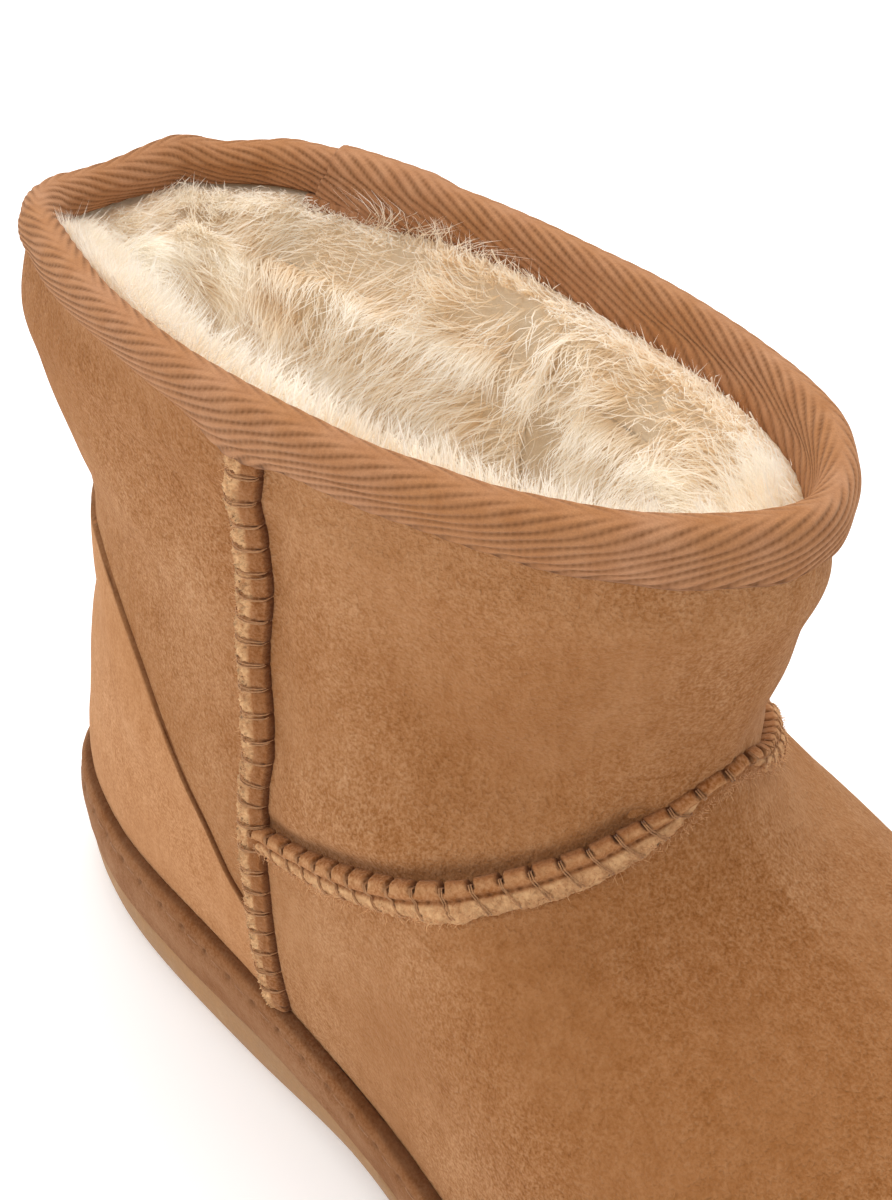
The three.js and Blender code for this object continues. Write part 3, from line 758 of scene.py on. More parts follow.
class SeamLine:
    """A line sewn on the skin, read by millimetres along it and millimetres across it."""

    STEP = 0.4

    def __init__(self, places, toward):
        drawn = spline(places, False, np.linspace(0, len(places) - 1, 400))
        points = SKIN.at(drawn[:, 0], drawn[:, 1])
        length = np.concatenate([[0], np.cumsum(np.linalg.norm(np.diff(points, axis=0), axis=1))])
        self.length = length[-1]
        self.along = np.arange(0, self.length, self.STEP)
        self.places = np.stack([np.interp(self.along, length, drawn[:, k]) for k in (0, 1)], -1)
        self.across = self.step_across(np.asarray(toward, float))

    def step_across(self, toward):
        """How far a place moves for one millimetre across the line, towards a direction."""
        around, up = self.places[:, 0], self.places[:, 1]
        here = SKIN.at(around, up)
        run = np.gradient(here, axis=0)
        normal = SKIN.normal(around, up)
        across = np.cross(normal, run)
        across /= np.linalg.norm(across, axis=-1, keepdims=True)
        across *= np.sign(across @ toward)[:, None]
        small = 0.002
        by_around = (SKIN.at(around + small, up) - SKIN.at(around - small, up)) / (2 * small)
        by_up = (SKIN.at(around, up + small) - SKIN.at(around, up - small)) / (2 * small)
        table = np.stack([by_around, by_up], -1)
        steps = np.array([np.linalg.lstsq(matrix, side, rcond=None)[0]
                          for matrix, side in zip(table, across)])
        smooth = np.ones(9) / 9
        padded = np.pad(steps, ((4, 4), (0, 0)), mode="edge")
        return np.stack([np.convolve(padded[:, k], smooth, "valid") for k in (0, 1)], -1)

    def at(self, along, across, out):
        given = (np.asarray(value, float) for value in (along, across, out))
        along, across, out = np.broadcast_arrays(*given)
        place = [np.interp(along, self.along, self.places[:, k]) for k in (0, 1)]
        step = [np.interp(along, self.along, self.across[:, k]) for k in (0, 1)]
        return SKIN.at(place[0] + step[0] * across, place[1] + step[1] * across, out)


def side_seam_line(side):
    return SeamLine(SKIN.find(SIDE_SEAM, side), (1, 0, 0))


def vamp_seam_line():
    """From one side seam over the instep to the other."""
    outer = SKIN.find(VAMP_SEAM, -1)
    inner = SKIN.find(VAMP_SEAM, 1)
    front = np.array([0.5, 0.0])
    ups = np.linspace(0.3, 0.9, 600)
    front[1] = ups[np.argmax(SKIN.at(np.full(600, 0.5), ups)[:, 2] > VAMP_SEAM_FRONT_Z)]
    return SeamLine(np.concatenate([outer, front[None], inner[::-1]]), (0.5, 0, -1))


# ---- upper ----
UPPER_AROUND = 320
UPPER_ROWS = 172
UPPER_INNER_ROWS = 16
VAMP_CREASE = next(form[4] for form in SOFT_FORMS if form[0] == "crease above vamp seam")


def build_upper(sizes, colours):
    around = even_around(0.45, UPPER_AROUND + 1)[0][:-1]
    outer_up = np.linspace(0, 1, UPPER_ROWS)[:, None]
    inner_up = np.linspace(1, 0, UPPER_INNER_ROWS)[:, None]
    outer = SKIN.at(around[None, :] + 0 * outer_up, outer_up + 0 * around)
    hide = sizes.hide_thickness / MM
    inner = SKIN.at(around[None, :] + 0 * inner_up, inner_up + 0 * around,
                    np.full((UPPER_INNER_ROWS, 1), -hide))
    points = np.concatenate([outer, inner])
    # Painted shade along the crease above the vamp seam.
    painted_shade = 0.55 * dent(distance_to(points[..., [0, 2]], VAMP_CREASE), 1.4)
    faces = grid_faces(len(points), UPPER_AROUND, True, True)
    material = suede_material("Suede", tuple(colours.suede), cloud=0.55, speckle=0.9, relief=0.7)
    piece = new_piece("suede_upper", points, faces, material,
                      {"shade": nap_and_painted_light(points), "painted_shade": painted_shade})
    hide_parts("upper")


# ---- collar tape ----
# The tape's own section: how far out from the skin, and how far above the collar edge.
TAPE_SECTION = ((0.7, -6.9), (1.75, -5.9), (2.15, -3.4), (2.0, -0.8), (1.2, 0.9), (-0.3, 1.7), (-1.9, 1.6),
                (-3.1, 0.6), (-3.6, -1.2), (-3.75, -4.0), (-3.6, -6.6), (-3.0, -7.8))
TAPE_FOLD_POINT = 5.2
TAPE_COLUMNS = 604
TAPE_ROWS = 122
TAPE_UNDER_ROWS = 10
TAPE_UNDER = 0.8
RIB_ANGLE = math.radians(19)
PICK = 0.95
JOIN_LENGTH = 26.0
JOIN_STEP = 0.9


JOIN_PLACE = SKIN.nearest_around(*TAPE_JOIN, 1.0)


def on_tape(around, out, rise):
    """A point of the collar: out from the skin, and above or below the collar edge."""
    collar = SKIN.at(around, np.ones_like(around))
    below = SKIN.at(around, np.full_like(around, up_of("tape_edge")))
    gap = np.linalg.norm(collar - below, axis=-1) * LAST_SECTION
    point = SKIN.at(around, 1 + np.minimum(rise, 0) / gap, out)
    point[..., 2] += np.maximum(rise, 0)
    return point


def build_tape(sizes, colours):
    rng = draws("collar_tape")
    start = JOIN_PLACE
    around, length = even_around(1.0, TAPE_COLUMNS, start, start + 1)
    along = np.linspace(0, length, TAPE_COLUMNS)
    around = np.append(around, around[-1])
    along = np.append(along, along[-1])
    lap = JOIN_STEP * np.clip((along - (length - JOIN_LENGTH)) / 6, 0, 1)
    lap[-1] = 0.0
    knots = np.linspace(0, len(TAPE_SECTION) - 1, TAPE_ROWS)
    section = spline(TAPE_SECTION, False, knots)
    run = np.gradient(section, axis=0)
    facing_out = np.stack([run[:, 1], -run[:, 0]], -1)
    facing_out /= np.linalg.norm(facing_out, axis=-1, keepdims=True)
    across = np.concatenate([[0], np.cumsum(np.linalg.norm(np.diff(section, axis=0), axis=1))])
    fold = np.interp(TAPE_FOLD_POINT, knots, across)
    from_fold = np.abs(across - fold)
    pitch = sizes.rib_pitch / MM
    ribs_along = length / round(length * math.sin(RIB_ANGLE) / pitch)
    phase = along[None, :] / ribs_along + from_fold[:, None] * math.cos(RIB_ANGLE) / pitch
    from_groove = np.abs(phase % 1.0 - 0.5) * 2
    rib = 1 - from_groove**2.2
    edge = np.minimum(across, across[-1] - across)
    weave = np.clip(from_fold / 1.6, 0.25, 1) * np.clip(edge / 1.0, 0.2, 1)
    relief = 0.24 * rib * weave[:, None]
    outer_face = np.clip((fold - across) / fold, 0, 1)[:, None]
    x = SKIN.at(around, np.ones_like(around))[:, 0]
    over_seam = dent(x - SIDE_SEAM[0][0], 7.0)[None, :]
    ring_place = around[None, :] + 0 * across[:, None]
    section_place = across[:, None] / across[-1] + 0 * around
    ripple = lattice(rng, ring_place, section_place, 46, 3)
    slow = lattice(rng, ring_place, section_place, 17, 2)
    swell = 0.22 * ripple + 0.35 * slow + lap[None, :] + 1.0 * over_seam * outer_face
    out = section[:, :1] + facing_out[:, :1] * (relief + swell)
    rise = section[:, 1:] + facing_out[:, 1:] * (relief + swell) - 1.3 * over_seam * outer_face**2
    rise = rise + 0.5 * slow[:1] * outer_face
    place = np.broadcast_to(around, out.shape)
    top = on_tape(place, out, rise)
    picked = np.linspace(TAPE_ROWS - 1, 0, TAPE_UNDER_ROWS).astype(int)
    under = on_tape(place[picked], (section[:, :1] - facing_out[:, :1] * TAPE_UNDER + 0 * out)[picked],
                    (rise - facing_out[:, 1:] * (TAPE_UNDER + relief))[picked])
    points = np.concatenate([top, under])
    uv = np.stack([phase, np.broadcast_to(along / PICK, phase.shape)], -1)
    uv = np.concatenate([uv, uv[picked]])
    weave = np.concatenate([np.broadcast_to(weave[:, None], phase.shape), 0 * under[..., 0]])
    # Painted shade: a dark stitch line near each edge, partly the stitches and partly shade in their holes;
    # the edges and the underside are darkened too.
    stitches_and_shade = dent(edge - 0.9, 0.45)[:, None] * (0.35 + 0.5 * dent((along % 3.6) - 1.8, 0.5)[None, :])
    painted_shade = np.concatenate([stitches_and_shade + 0.5 * dent(edge, 0.35)[:, None], 0 * under[..., 0] + 0.6])
    faces = grid_faces(len(points), len(around), close_rows=True)
    material = twill_material("Twill Tape", tuple(colours.twill), tuple(colours.twill_groove_shade))
    piece = new_piece("collar_tape", points, faces, material, {"weave": weave, "painted_shade": painted_shade}, uv)
    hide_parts("collar_binding")
    build_tape_end(start, material)


END_LENGTH = 18.0
END_DROP = (3.6, 1.2)


def build_tape_end(start, material):
    """The folded-under end of the tape, which shows as a short strip below its inner edge."""
    columns, rows = 60, 14
    ring_length = even_around(1.0, 10, start - 0.2, start)[1]
    around = even_around(1.0, columns, start - 0.2 * END_LENGTH / ring_length, start + 0.004)[0]
    share = np.linspace(1, 0, columns)
    drop = END_DROP[0] + (END_DROP[1] - END_DROP[0]) * share
    down = np.linspace(0, 1, rows)[:, None]
    bulge = np.sin(down * math.pi) ** 0.6
    rise = -6.3 - (down * drop + 0.5) - 0.15 * np.sin(share * 23)[None, :] * down
    out = -4.25 - 0.75 * bulge + 0.1 * np.cos(np.arange(columns) * 1.9)[None, :] + 0 * down
    front = on_tape(np.broadcast_to(around, out.shape), out, rise)
    back = on_tape(np.broadcast_to(around, out.shape), out + 0.9, rise)[::-1]
    points = np.concatenate([front, back])
    uv = np.stack([np.broadcast_to(np.arange(columns) * 0.16, rise.shape),
                   np.broadcast_to(down * 5, rise.shape)], -1)
    uv = np.concatenate([uv, uv[::-1]])
    # Painted shade along the bottom of the strip and over its back.
    painted_shade = np.concatenate([dent(1 - down, 0.12) + 0 * rise, 0.8 + 0 * rise])
    values = {"weave": np.full(points.shape[:2], 0.55), "painted_shade": painted_shade}
    ends = np.arange(2 * rows) * columns
    caps = np.array([ends, (ends + columns - 1)[::-1]])
    faces = [grid_faces(2 * rows, columns, close_rows=True), caps]
    weld(new_piece("tape_end", points, faces, material, values, uv))


# ---- raised seams ----
# Heights across a side seam, from its raw edge behind to the gap in front: across, out.
SIDE_PROFILE = ((-3.2, 0.0), (-2.9, 1.2), (-2.2, 1.95), (-1.3, 2.3), (-0.5, 2.4), (0.1, 2.3), (1.0, 1.95),
                (2.0, 1.6), (2.8, 1.15), (3.2, 0.2), (3.6, -0.5), (4.1, -0.1))
# Heights across the vamp seam, from the gap under the shaft down to its raw edge.
VAMP_PROFILE = ((-3.9, -0.1), (-3.4, -0.6), (-3.0, 0.9), (-2.4, 1.9), (-1.5, 2.25), (-0.6, 1.95),
                (-0.1, 1.15), (0.5, 1.5), (1.5, 1.55), (2.4, 1.15), (3.0, 0.7), (3.3, 0.0))
PROFILE_HEIGHT = 2.2  # the seam height that both profiles are drawn for
SEAM_UNDER = -0.5
SEAM_ROW = 0.3  # length of seam for each row of its mesh
THREAD_RADIUS = 0.12
RAW_FIBRE_WIDTH = 0.11


def profile_heights(profile, count):
    """Places across a seam and the height at each."""
    drawn = spline(profile, False, np.linspace(0, len(profile) - 1, count))
    return drawn[:, 0], drawn[:, 1]


def seam_mesh(name, line, across, out, material, values):
    """A closed strip along a seam line from grids of places across and heights."""
    rows, columns = out.shape
    along = np.linspace(0, line.length, rows)[:, None]
    top = line.at(along, across, out)
    under = line.at(along, across[:, [-1, 0]], np.full((rows, 2), SEAM_UNDER))
    points = np.concatenate([top, under], axis=1)
    fill = {key: np.concatenate([value, np.zeros((rows, 2))], axis=1) for key, value in values.items()}
    faces = grid_faces(rows, columns + 2, close_columns=True)
    normal = np.cross(points[0, 1] - points[0, 0], points[1, 0] - points[0, 0])
    if normal @ SKIN.normal(*line.places[0]) < 0:
        faces = faces[:, ::-1]
    caps = [np.arange(columns + 2), (rows - 1) * (columns + 2) + np.arange(columns + 2)]
    piece = new_piece(name, points, [faces, np.array(caps)], material, fill)
    weld(piece)
    return piece


def build_side_seam(name, node, side, sizes, material):
    rng = draws(name)
    line = side_seam_line(side)
    rows = int(line.length / SEAM_ROW)
    along = np.linspace(0, line.length, rows)[:, None]
    across, out = profile_heights(SIDE_PROFILE, 34)
    pitch = sizes.stitch_pitch / MM
    slanted = along + 0.12 * across
    from_stitch = np.abs(slanted % pitch - pitch / 2)
    pulled = dent(from_stitch, 0.34)
    raw = np.clip((0.9 - across) / 0.5, 0, 1)
    wall = np.clip((across - 0.6) / 0.6, 0, 1) * np.clip((3.0 - across) / 0.8, 0, 1)
    lobe = rng.uniform(0.75, 1.25, int(line.length / pitch) + 3)[(slanted // pitch).astype(int)]
    jitter = rng.normal(size=(rows, 1))
    jitter = np.convolve(jitter[:, 0], np.ones(5) / 5, "same")[:, None]
    rough = rng.normal(scale=0.17, size=(rows, len(across))) * (0.25 + raw)
    height = out * (sizes.seam_height / MM / PROFILE_HEIGHT) * np.where(raw > 0, 0.8 + 0.2 * lobe, 1)
    wave = np.cos(2 * math.pi * along / pitch)
    height = height - pulled * (0.7 * raw + 0.16 * wall) + 0.16 * wall * wave + rough
    height = height - 0.35 * dent(across - 3.1, 0.5) * pulled
    wide = across * np.where(across < -0.9, 0.86 + 0.10 * lobe - 0.16 * dent(from_stitch, 0.5), 1.0)
    wide = wide + 0.22 * jitter * raw
    seam_top = np.clip((along - 1.5) / 3, 0, 1)
    height = height * seam_top + 0.6 * (1 - seam_top)
    # Painted shade: the gap in front of the seam, the stitch holes and the shaded wall are darkened.
    gap = np.clip((across - 2.6) / 0.7, 0, 1)
    painted_shade = 0.95 * gap + 1.2 * dent(across - 2.5, 0.6) * pulled + 0.2 * pulled * raw + 0.2 * wall
    painted_shade = np.clip(painted_shade + 0.15 * np.clip(across / 3, 0, 1) * (across > 0), 0, 1)
    rub = np.clip(1.15 * raw, 0, 1) * (1 - pulled * 0.35) * np.ones_like(along)
    values = {"shade": np.zeros_like(height), "painted_shade": painted_shade + 0 * height, "rub": rub + 0 * height}
    piece = seam_mesh(name, line, wide + 0 * height, height, material, values)
    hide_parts(node)
    stitches = np.arange(pitch / 2 + pitch, line.length - 2, pitch)
    return line, stitches


def side_stitches(line, stitches, rng):
    """Threads that wrap the side seam: two strands at each stitch, from the gap over the ridge."""
    share = np.linspace(0, 1, 12)
    across = 3.2 - 6.1 * share
    height = np.interp(across, *np.array(SIDE_PROFILE).T) + 0.02 + 0.16 * np.sin(share * math.pi)
    height[0] -= 0.7
    height[-1] -= 0.6
    paths = []
    for strand in (-0.22, 0.24):
        slant = rng.normal(0, 0.18, (len(stitches), 1)) + strand * (0.4 + share)
        sag = 0.35 * np.sin(share * math.pi)
        along = stitches[:, None] - 0.12 * across + slant + sag - 0.1
        paths.append(line.at(along, across, height))
    return np.concatenate(paths)


def build_vamp_seam(sizes, material):
    rng = draws("vamp_seam_cord")
    line = vamp_seam_line()
    rows = int(line.length / SEAM_ROW)
    along = np.linspace(0, line.length, rows)[:, None]
    across, out = profile_heights(VAMP_PROFILE, 30)
    pitch = sizes.stitch_pitch / MM
    from_stitch = np.abs((along - 0.10 * across) % pitch - pitch / 2)
    past_gap = np.clip((across + 3.3) / 0.3, 0, 1)
    cord = np.clip((-0.3 - across) / 0.5, 0, 1) * past_gap
    notch = dent(from_stitch, 0.45) * np.clip((-0.9 - across) / 0.5, 0, 1) * past_gap
    raw = np.clip((across - 0.1) / 0.5, 0, 1)
    small = dent(np.abs((along + 1.1) % (pitch / 2) - pitch / 4), 0.3)
    middle = dent(across + 0.1, 0.28)
    lower = dent(across - 2.9, 0.4) * dent(from_stitch, 0.35)
    end = np.minimum(along, line.length - along)
    half = np.abs(along - line.length / 2)
    slim = 0.55 + 0.45 * np.clip(half / 36, 0, 1)
    waist = slim * (0.72 + 0.28 * np.clip((line.length / 2 - half) / 30, 0, 1))
    thin = np.clip((half - 2) / 16, 0.15, 1)
    rough = np.convolve(rng.normal(size=rows), np.ones(7) / 7, "same")[:, None]
    wave = np.cos(2 * math.pi * along / pitch + math.pi)
    height = out * (sizes.seam_height / MM / PROFILE_HEIGHT) + 0.14 * cord * wave
    height = height - 1.9 * notch - 0.25 * middle * small - 0.5 * lower
    height = height + rng.normal(scale=0.09, size=(rows, len(across))) * (0.3 + raw)
    height = height * np.where(across > 0.1, 0.35 + 0.65 * thin, 1.0)
    wide = across * np.where(across > 0.1, 0.86 * thin * (1 + 0.05 * rough), waist)
    wide = wide + 0.3 * rough * np.clip((across - 1.5) / 1.5, 0, 1)
    height = height * np.clip(end / 1.5, 0.2, 1) * (0.4 + 0.6 * slim)
    # Painted shade: the gap under the shaft, the notches and the stitch holes of the dotted line are
    # darkened.
    gap = np.clip((-3.0 - across) / 0.3, 0, 1)
    painted_shade = 0.9 * gap + 1.5 * notch + 0.5 * middle * small + 0.8 * lower + 0.25 * middle
    rub = np.clip(0.85 * raw + 0.35 * dent(across + 1.5, 0.6), 0, 1) * (1 - 0.7 * notch)
    values = {"shade": np.zeros_like(height), "painted_shade": np.clip(painted_shade, 0, 1) + 0 * height,
              "rub": rub + 0 * height}
    piece = seam_mesh("vamp_seam_cord", line, wide + 0 * height, height, material, values)
    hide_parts("vamp_seam")
    stitches = np.arange(pitch / 2, line.length - 2, pitch)
    return line, stitches


def vamp_stitches(line, stitches, rng):
    """Threads from each notch over the cord and slantwise down the raw strip."""
    share = np.linspace(0, 1, 12)
    across = -2.0 + 4.6 * share
    height = np.interp(across, *np.array(VAMP_PROFILE).T) + 0.06 + 0.1 * np.sin(share * math.pi)
    height[0] -= 1.4
    height[-1] -= 0.7
    half = np.abs(stitches - line.length / 2)
    thin = np.clip((half - 2) / 16, 0.15, 1)[:, None]
    slant = np.clip(share - 0.3, 0, 1) * np.sign(line.length / 2 - stitches)[:, None] * 1.9
    paths = []
    for strand in (-0.12, 0.2):
        wander = rng.normal(0, 0.12, (len(stitches), 1)) * share
        along = stitches[:, None] + 0.10 * across + slant + strand + wander
        wide = np.where(across > 0, across * thin, across)
        high = np.where(across > 0, height * (0.35 + 0.65 * thin), height)
        paths.append(line.at(along, wide, high))
    return np.concatenate(paths)


def raw_edge_fibres(line, across, out, count, reach, rng):
    """Short curling fibres that stand off a raw edge of a seam."""
    along = rng.uniform(1, line.length - 1, count)
    spot = across + rng.normal(0, 0.35, count)
    root = line.at(along, spot, out + rng.uniform(-0.3, 0.3, count))
    ahead = line.at(along + 1, spot, out) - line.at(along, spot, out)
    beside = line.at(along, spot + 1, out) - line.at(along, spot, out)
    up = line.at(along, spot, out + 1) - line.at(along, spot, out)
    turn = rng.uniform(0, 2 * math.pi, count)
    reach = reach * rng.uniform(0.4, 1.3, count)
    way = ahead * np.cos(turn)[:, None] + beside * (np.sin(turn) + 0.5 * np.sign(across))[:, None]
    way = way + up * rng.uniform(0.1, 1.0, count)[:, None]
    bend = rng.normal(0, 0.35, (count, 3))
    share = np.linspace(0, 1, 4)[None, :, None]
    return root[:, None] + (way[:, None] * share + bend[:, None] * share**2) * reach[:, None, None]


def build_seams(sizes, colours):
    rng = draws("threads_and_fibres")
    material = suede_material("Seam Suede", tuple(colours.seam), cloud=0.3, speckle=1.0, grain=2000.0,
                              relief=0.4, rubbed=tuple(colours.raw_edge))
    threads = []
    fibres = []
    for name, node, side in (("outer_side_seam", "lateral_seam", -1), ("inner_side_seam", "medial_seam", 1)):
        line, stitches = build_side_seam(name, node, side, sizes, material)
        threads.append(side_stitches(line, stitches, rng))
        fibres.append(raw_edge_fibres(line, -3.0, 0.7, 1100, 0.9, rng))
        fibres.append(raw_edge_fibres(line, -0.6, 2.2, 1600, 0.55, rng))
    line, stitches = build_vamp_seam(sizes, material)
    threads.append(vamp_stitches(line, stitches, rng))
    fibres.append(raw_edge_fibres(line, 2.2, 0.9, 1200, 0.8, rng))
    fibres.append(raw_edge_fibres(line, 1.2, 1.5, 1100, 0.6, rng))
    points, faces = tubes(np.concatenate(threads), THREAD_RADIUS)
    material = thread_material("Sewing Thread", tuple(colours.thread))
    new_piece("seam_threads", points, faces, material)
    paths = np.concatenate(fibres)
    points, faces, share, _ = strand_mesh(paths, np.full(len(paths), RAW_FIBRE_WIDTH), rng)
    material = fleece_material("Raw Edge Fibres", tuple(colours.seam), tuple(colours.raw_edge))
    new_piece("raw_edge_fibres", points, faces, material,
              {"length": share, "lock": 0.5 + 0 * share})


# ---- heel counter ----
COUNTER_PROUD = 0.8
COUNTER_COLUMNS = 260
COUNTER_ROWS = 52


def band_top(x):
    return HEIGHTS["band"](x) + 0.6


def build_counter(colours):
    edge_x, edge_z = np.array(COUNTER_EDGE, float).T
    last = SKIN.find([(82.3, 40)], -1)[0][0]
    first = SKIN.find([(82.3, 40)], 1)[0][0] - 1
    around = even_around(0.25, COUNTER_COLUMNS, first, last)[0]
    low = SKIN.height_where(around, band_top) - 0.004
    high = SKIN.height_where(around, lambda x: np.interp(x, edge_x, edge_z))
    smooth = np.ones(7) / 7
    high = np.convolve(np.pad(high, 3, mode="edge"), smooth, "valid")
    share = np.linspace(0, 1, COUNTER_ROWS)[:, None] ** 0.8
    up = low + (high - low) * share
    point = SKIN.at(around[None, :] + 0 * up, up)
    from_edge = np.linalg.norm(point[-1:] - point, axis=-1)
    wander = 0.16 * np.sin(around * 190)[None, :] + 0.12 * np.sin(around * 433)[None, :]
    out = COUNTER_PROUD * np.clip(from_edge / 0.9, 0, 1) ** 0.5 - 0.45 * dent(from_edge - 0.35 - wander, 0.35)
    top = SKIN.at(around[None, :] + 0 * up, up, out)
    under = SKIN.at(around[None, :] + 0 * up[[-1, 0]], up[[-1, 0]], np.full((2, 1), -0.4))
    points = np.concatenate([top, under])
    # Painted shade in the groove along the top edge of the counter, and a fainter band below it.
    painted_shade = np.clip(dent(from_edge - 0.3 - wander, 0.5) + 0.35 * dent(from_edge - 1.0, 0.5), 0, 1)
    painted_shade = np.concatenate([painted_shade, np.zeros((2, COUNTER_COLUMNS))])
    faces = grid_faces(len(points), COUNTER_COLUMNS, close_rows=True)
    ends = np.arange(len(points)) * COUNTER_COLUMNS
    caps = np.array([ends[::-1], ends + COUNTER_COLUMNS - 1])
    material = suede_material("Counter Suede", tuple(colours.counter), cloud=0.35, speckle=0.75, relief=0.25)
    piece = new_piece("counter_panel", points, [faces, caps], material,
                      {"shade": 0.6 * nap_and_painted_light(points), "painted_shade": painted_shade})
    weld(piece)
    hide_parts("heel_counter")


# ---- sole ----
# The wrapped band from the outsole up: share of its height, how far out from the skin.
BAND_SECTION = ((0.0, 2.7), (0.05, 3.3), (0.2, 3.75), (0.45, 3.9), (0.7, 3.75), (0.88, 3.2), (0.97, 2.3),
                (1.01, 1.1), (1.0, 0.1))
BAND_COLUMNS = 840
BAND_ROWS = 24
BAND_STITCH = 7.0
BAND_DRAWN = 3.9  # how far out the section above stands at its widest
HOLE_LINE = 0.80  # share of the height at which the stitch holes lie
BAND_THREAD_RADIUS = 0.22


def build_band(sizes, colours):
    rng = draws("wrapped_band")
    around, length = even_around(0.05, BAND_COLUMNS + 1)
    around = around[:-1]
    along = np.arange(BAND_COLUMNS) * length / BAND_COLUMNS
    top = SKIN.height_where(around, band_top)
    share, out = spline(BAND_SECTION, False, np.linspace(0, len(BAND_SECTION) - 1, BAND_ROWS)).T
    up = share[:, None] * top[None, :]
    pitch = length / round(length / BAND_STITCH)
    from_stitch = np.abs(along % pitch - pitch / 2)[None, :]
    hole = dent(from_stitch, 0.55) * dent(share - HOLE_LINE, 0.045)[:, None]
    groove = dent(share - HOLE_LINE, 0.05)[:, None]
    puff = lattice(rng, around[None, :] + 0 * up, share[:, None] + 0 * up, 120, 3)
    out = out[:, None] * (sizes.band_proud / MM / BAND_DRAWN) - 0.55 * hole - 0.2 * groove + 0.14 * puff
    points = SKIN.at(around[None, :] + 0 * up, up, out)
    inside = SKIN.at(around[None, :] + 0 * up[:2], up[[-1, 0]], np.full((2, 1), 0.05))
    points = np.concatenate([points, inside])
    seat = HEIGHTS["sole"](points[..., 0]) + 0.25
    points[..., 2] = np.maximum(points[..., 2], seat)
    # Painted shade in the stitch holes, in their groove and along the top edge where the band meets the
    # upper.
    painted_shade = np.clip(0.6 * hole + 0.12 * groove + 0.55 * dent(share[:, None] - 1.0, 0.03), 0, 1) + 0 * up
    rub = np.clip(0.5 * dent(share[:, None] - 0.45, 0.2) * (0.5 + puff), 0, 1)
    extra = np.zeros((2, BAND_COLUMNS))
    values = {"shade": np.concatenate([0.5 * puff, extra]), "painted_shade": np.concatenate([painted_shade, extra]),
              "rub": np.concatenate([rub, extra])}
    material = suede_material("Band Suede", tuple(colours.band), cloud=0.4, speckle=0.8, relief=0.3,
                              rubbed=tuple(colours.band_rubbed))
    piece = new_piece("wrapped_band", points, grid_faces(len(points), BAND_COLUMNS, True, True), material,
                      values)
    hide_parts("sole_band")
    build_band_stitches(around, top, pitch, length, colours)


def build_band_stitches(around, top, pitch, length, colours):
    """Short stitches that run between the holes near the band's upper edge."""
    centres = np.arange(pitch, length - pitch / 2, pitch)
    share = np.linspace(-1, 1, 9)
    along = centres[:, None] + share * pitch * 0.36
    place = np.interp(along / length, np.arange(BAND_COLUMNS) / BAND_COLUMNS, around)
    up = HOLE_LINE * np.interp(along / length, np.arange(BAND_COLUMNS) / BAND_COLUMNS, top)
    out = 3.28 - 0.75 * np.abs(share) ** 4 + 0 * along
    points, faces = tubes(SKIN.at(place, up, out), BAND_THREAD_RADIUS)
    material = thread_material("Band Thread", tuple(colours.band_thread))
    new_piece("band_stitches", points, faces, material)


OUTSOLE_AROUND = 560
SOLE_EDGE = 2.9
# From the bottom edge up: how far the side is drawn in, and its share of the height.
SOLE_SIDE = ((3.4, 0.0), (2.3, 0.05), (1.4, 0.15), (0.6, 0.36), (0.15, 0.6), (0.0, 0.84), (0.08, 0.95),
             (0.5, 1.0))
SOLE_ACROSS = 36
LID_ACROSS = 3  # points across a flat lid that is hidden
TREADS = ((20, 70), (156, 236))
LUG_PITCH = 10.0


def underside(x):
    heel = 2 * (np.clip(12 - x, 0, None) / 14) ** 2
    arch = 3 * np.sin(math.pi * np.clip((x - 78) / 72, 0, 1)) ** 2
    spring = 8.5 * (np.clip(x - 205, 0, None) / 63) ** 2
    return heel + arch + spring


def ruled_across(loop, count):
    """Points ruled across from the outer to the inner half of a loop."""
    half = len(loop) // 2
    outer = loop[: half + 1]
    inner = loop[(-np.arange(half + 1)) % len(loop)]
    share = np.linspace(0, 1, count)[None, :, None]
    return outer[:, None] * (1 - share) + inner[:, None] * share


def feather_loop(around_count, out, inward=0.0):
    """The feather edge seen from above, moved out in plan."""
    around = even_around(0.0, around_count + 1)[0][:-1]
    loop = SKIN.at(around, np.zeros(around_count), np.full(around_count, -inward))
    run = np.roll(loop, -1, 0) - np.roll(loop, 1, 0)
    outward = np.stack([run[:, 1], -run[:, 0], 0 * run[:, 0]], -1)
    outward /= np.linalg.norm(outward, axis=-1, keepdims=True)
    return loop + outward * out


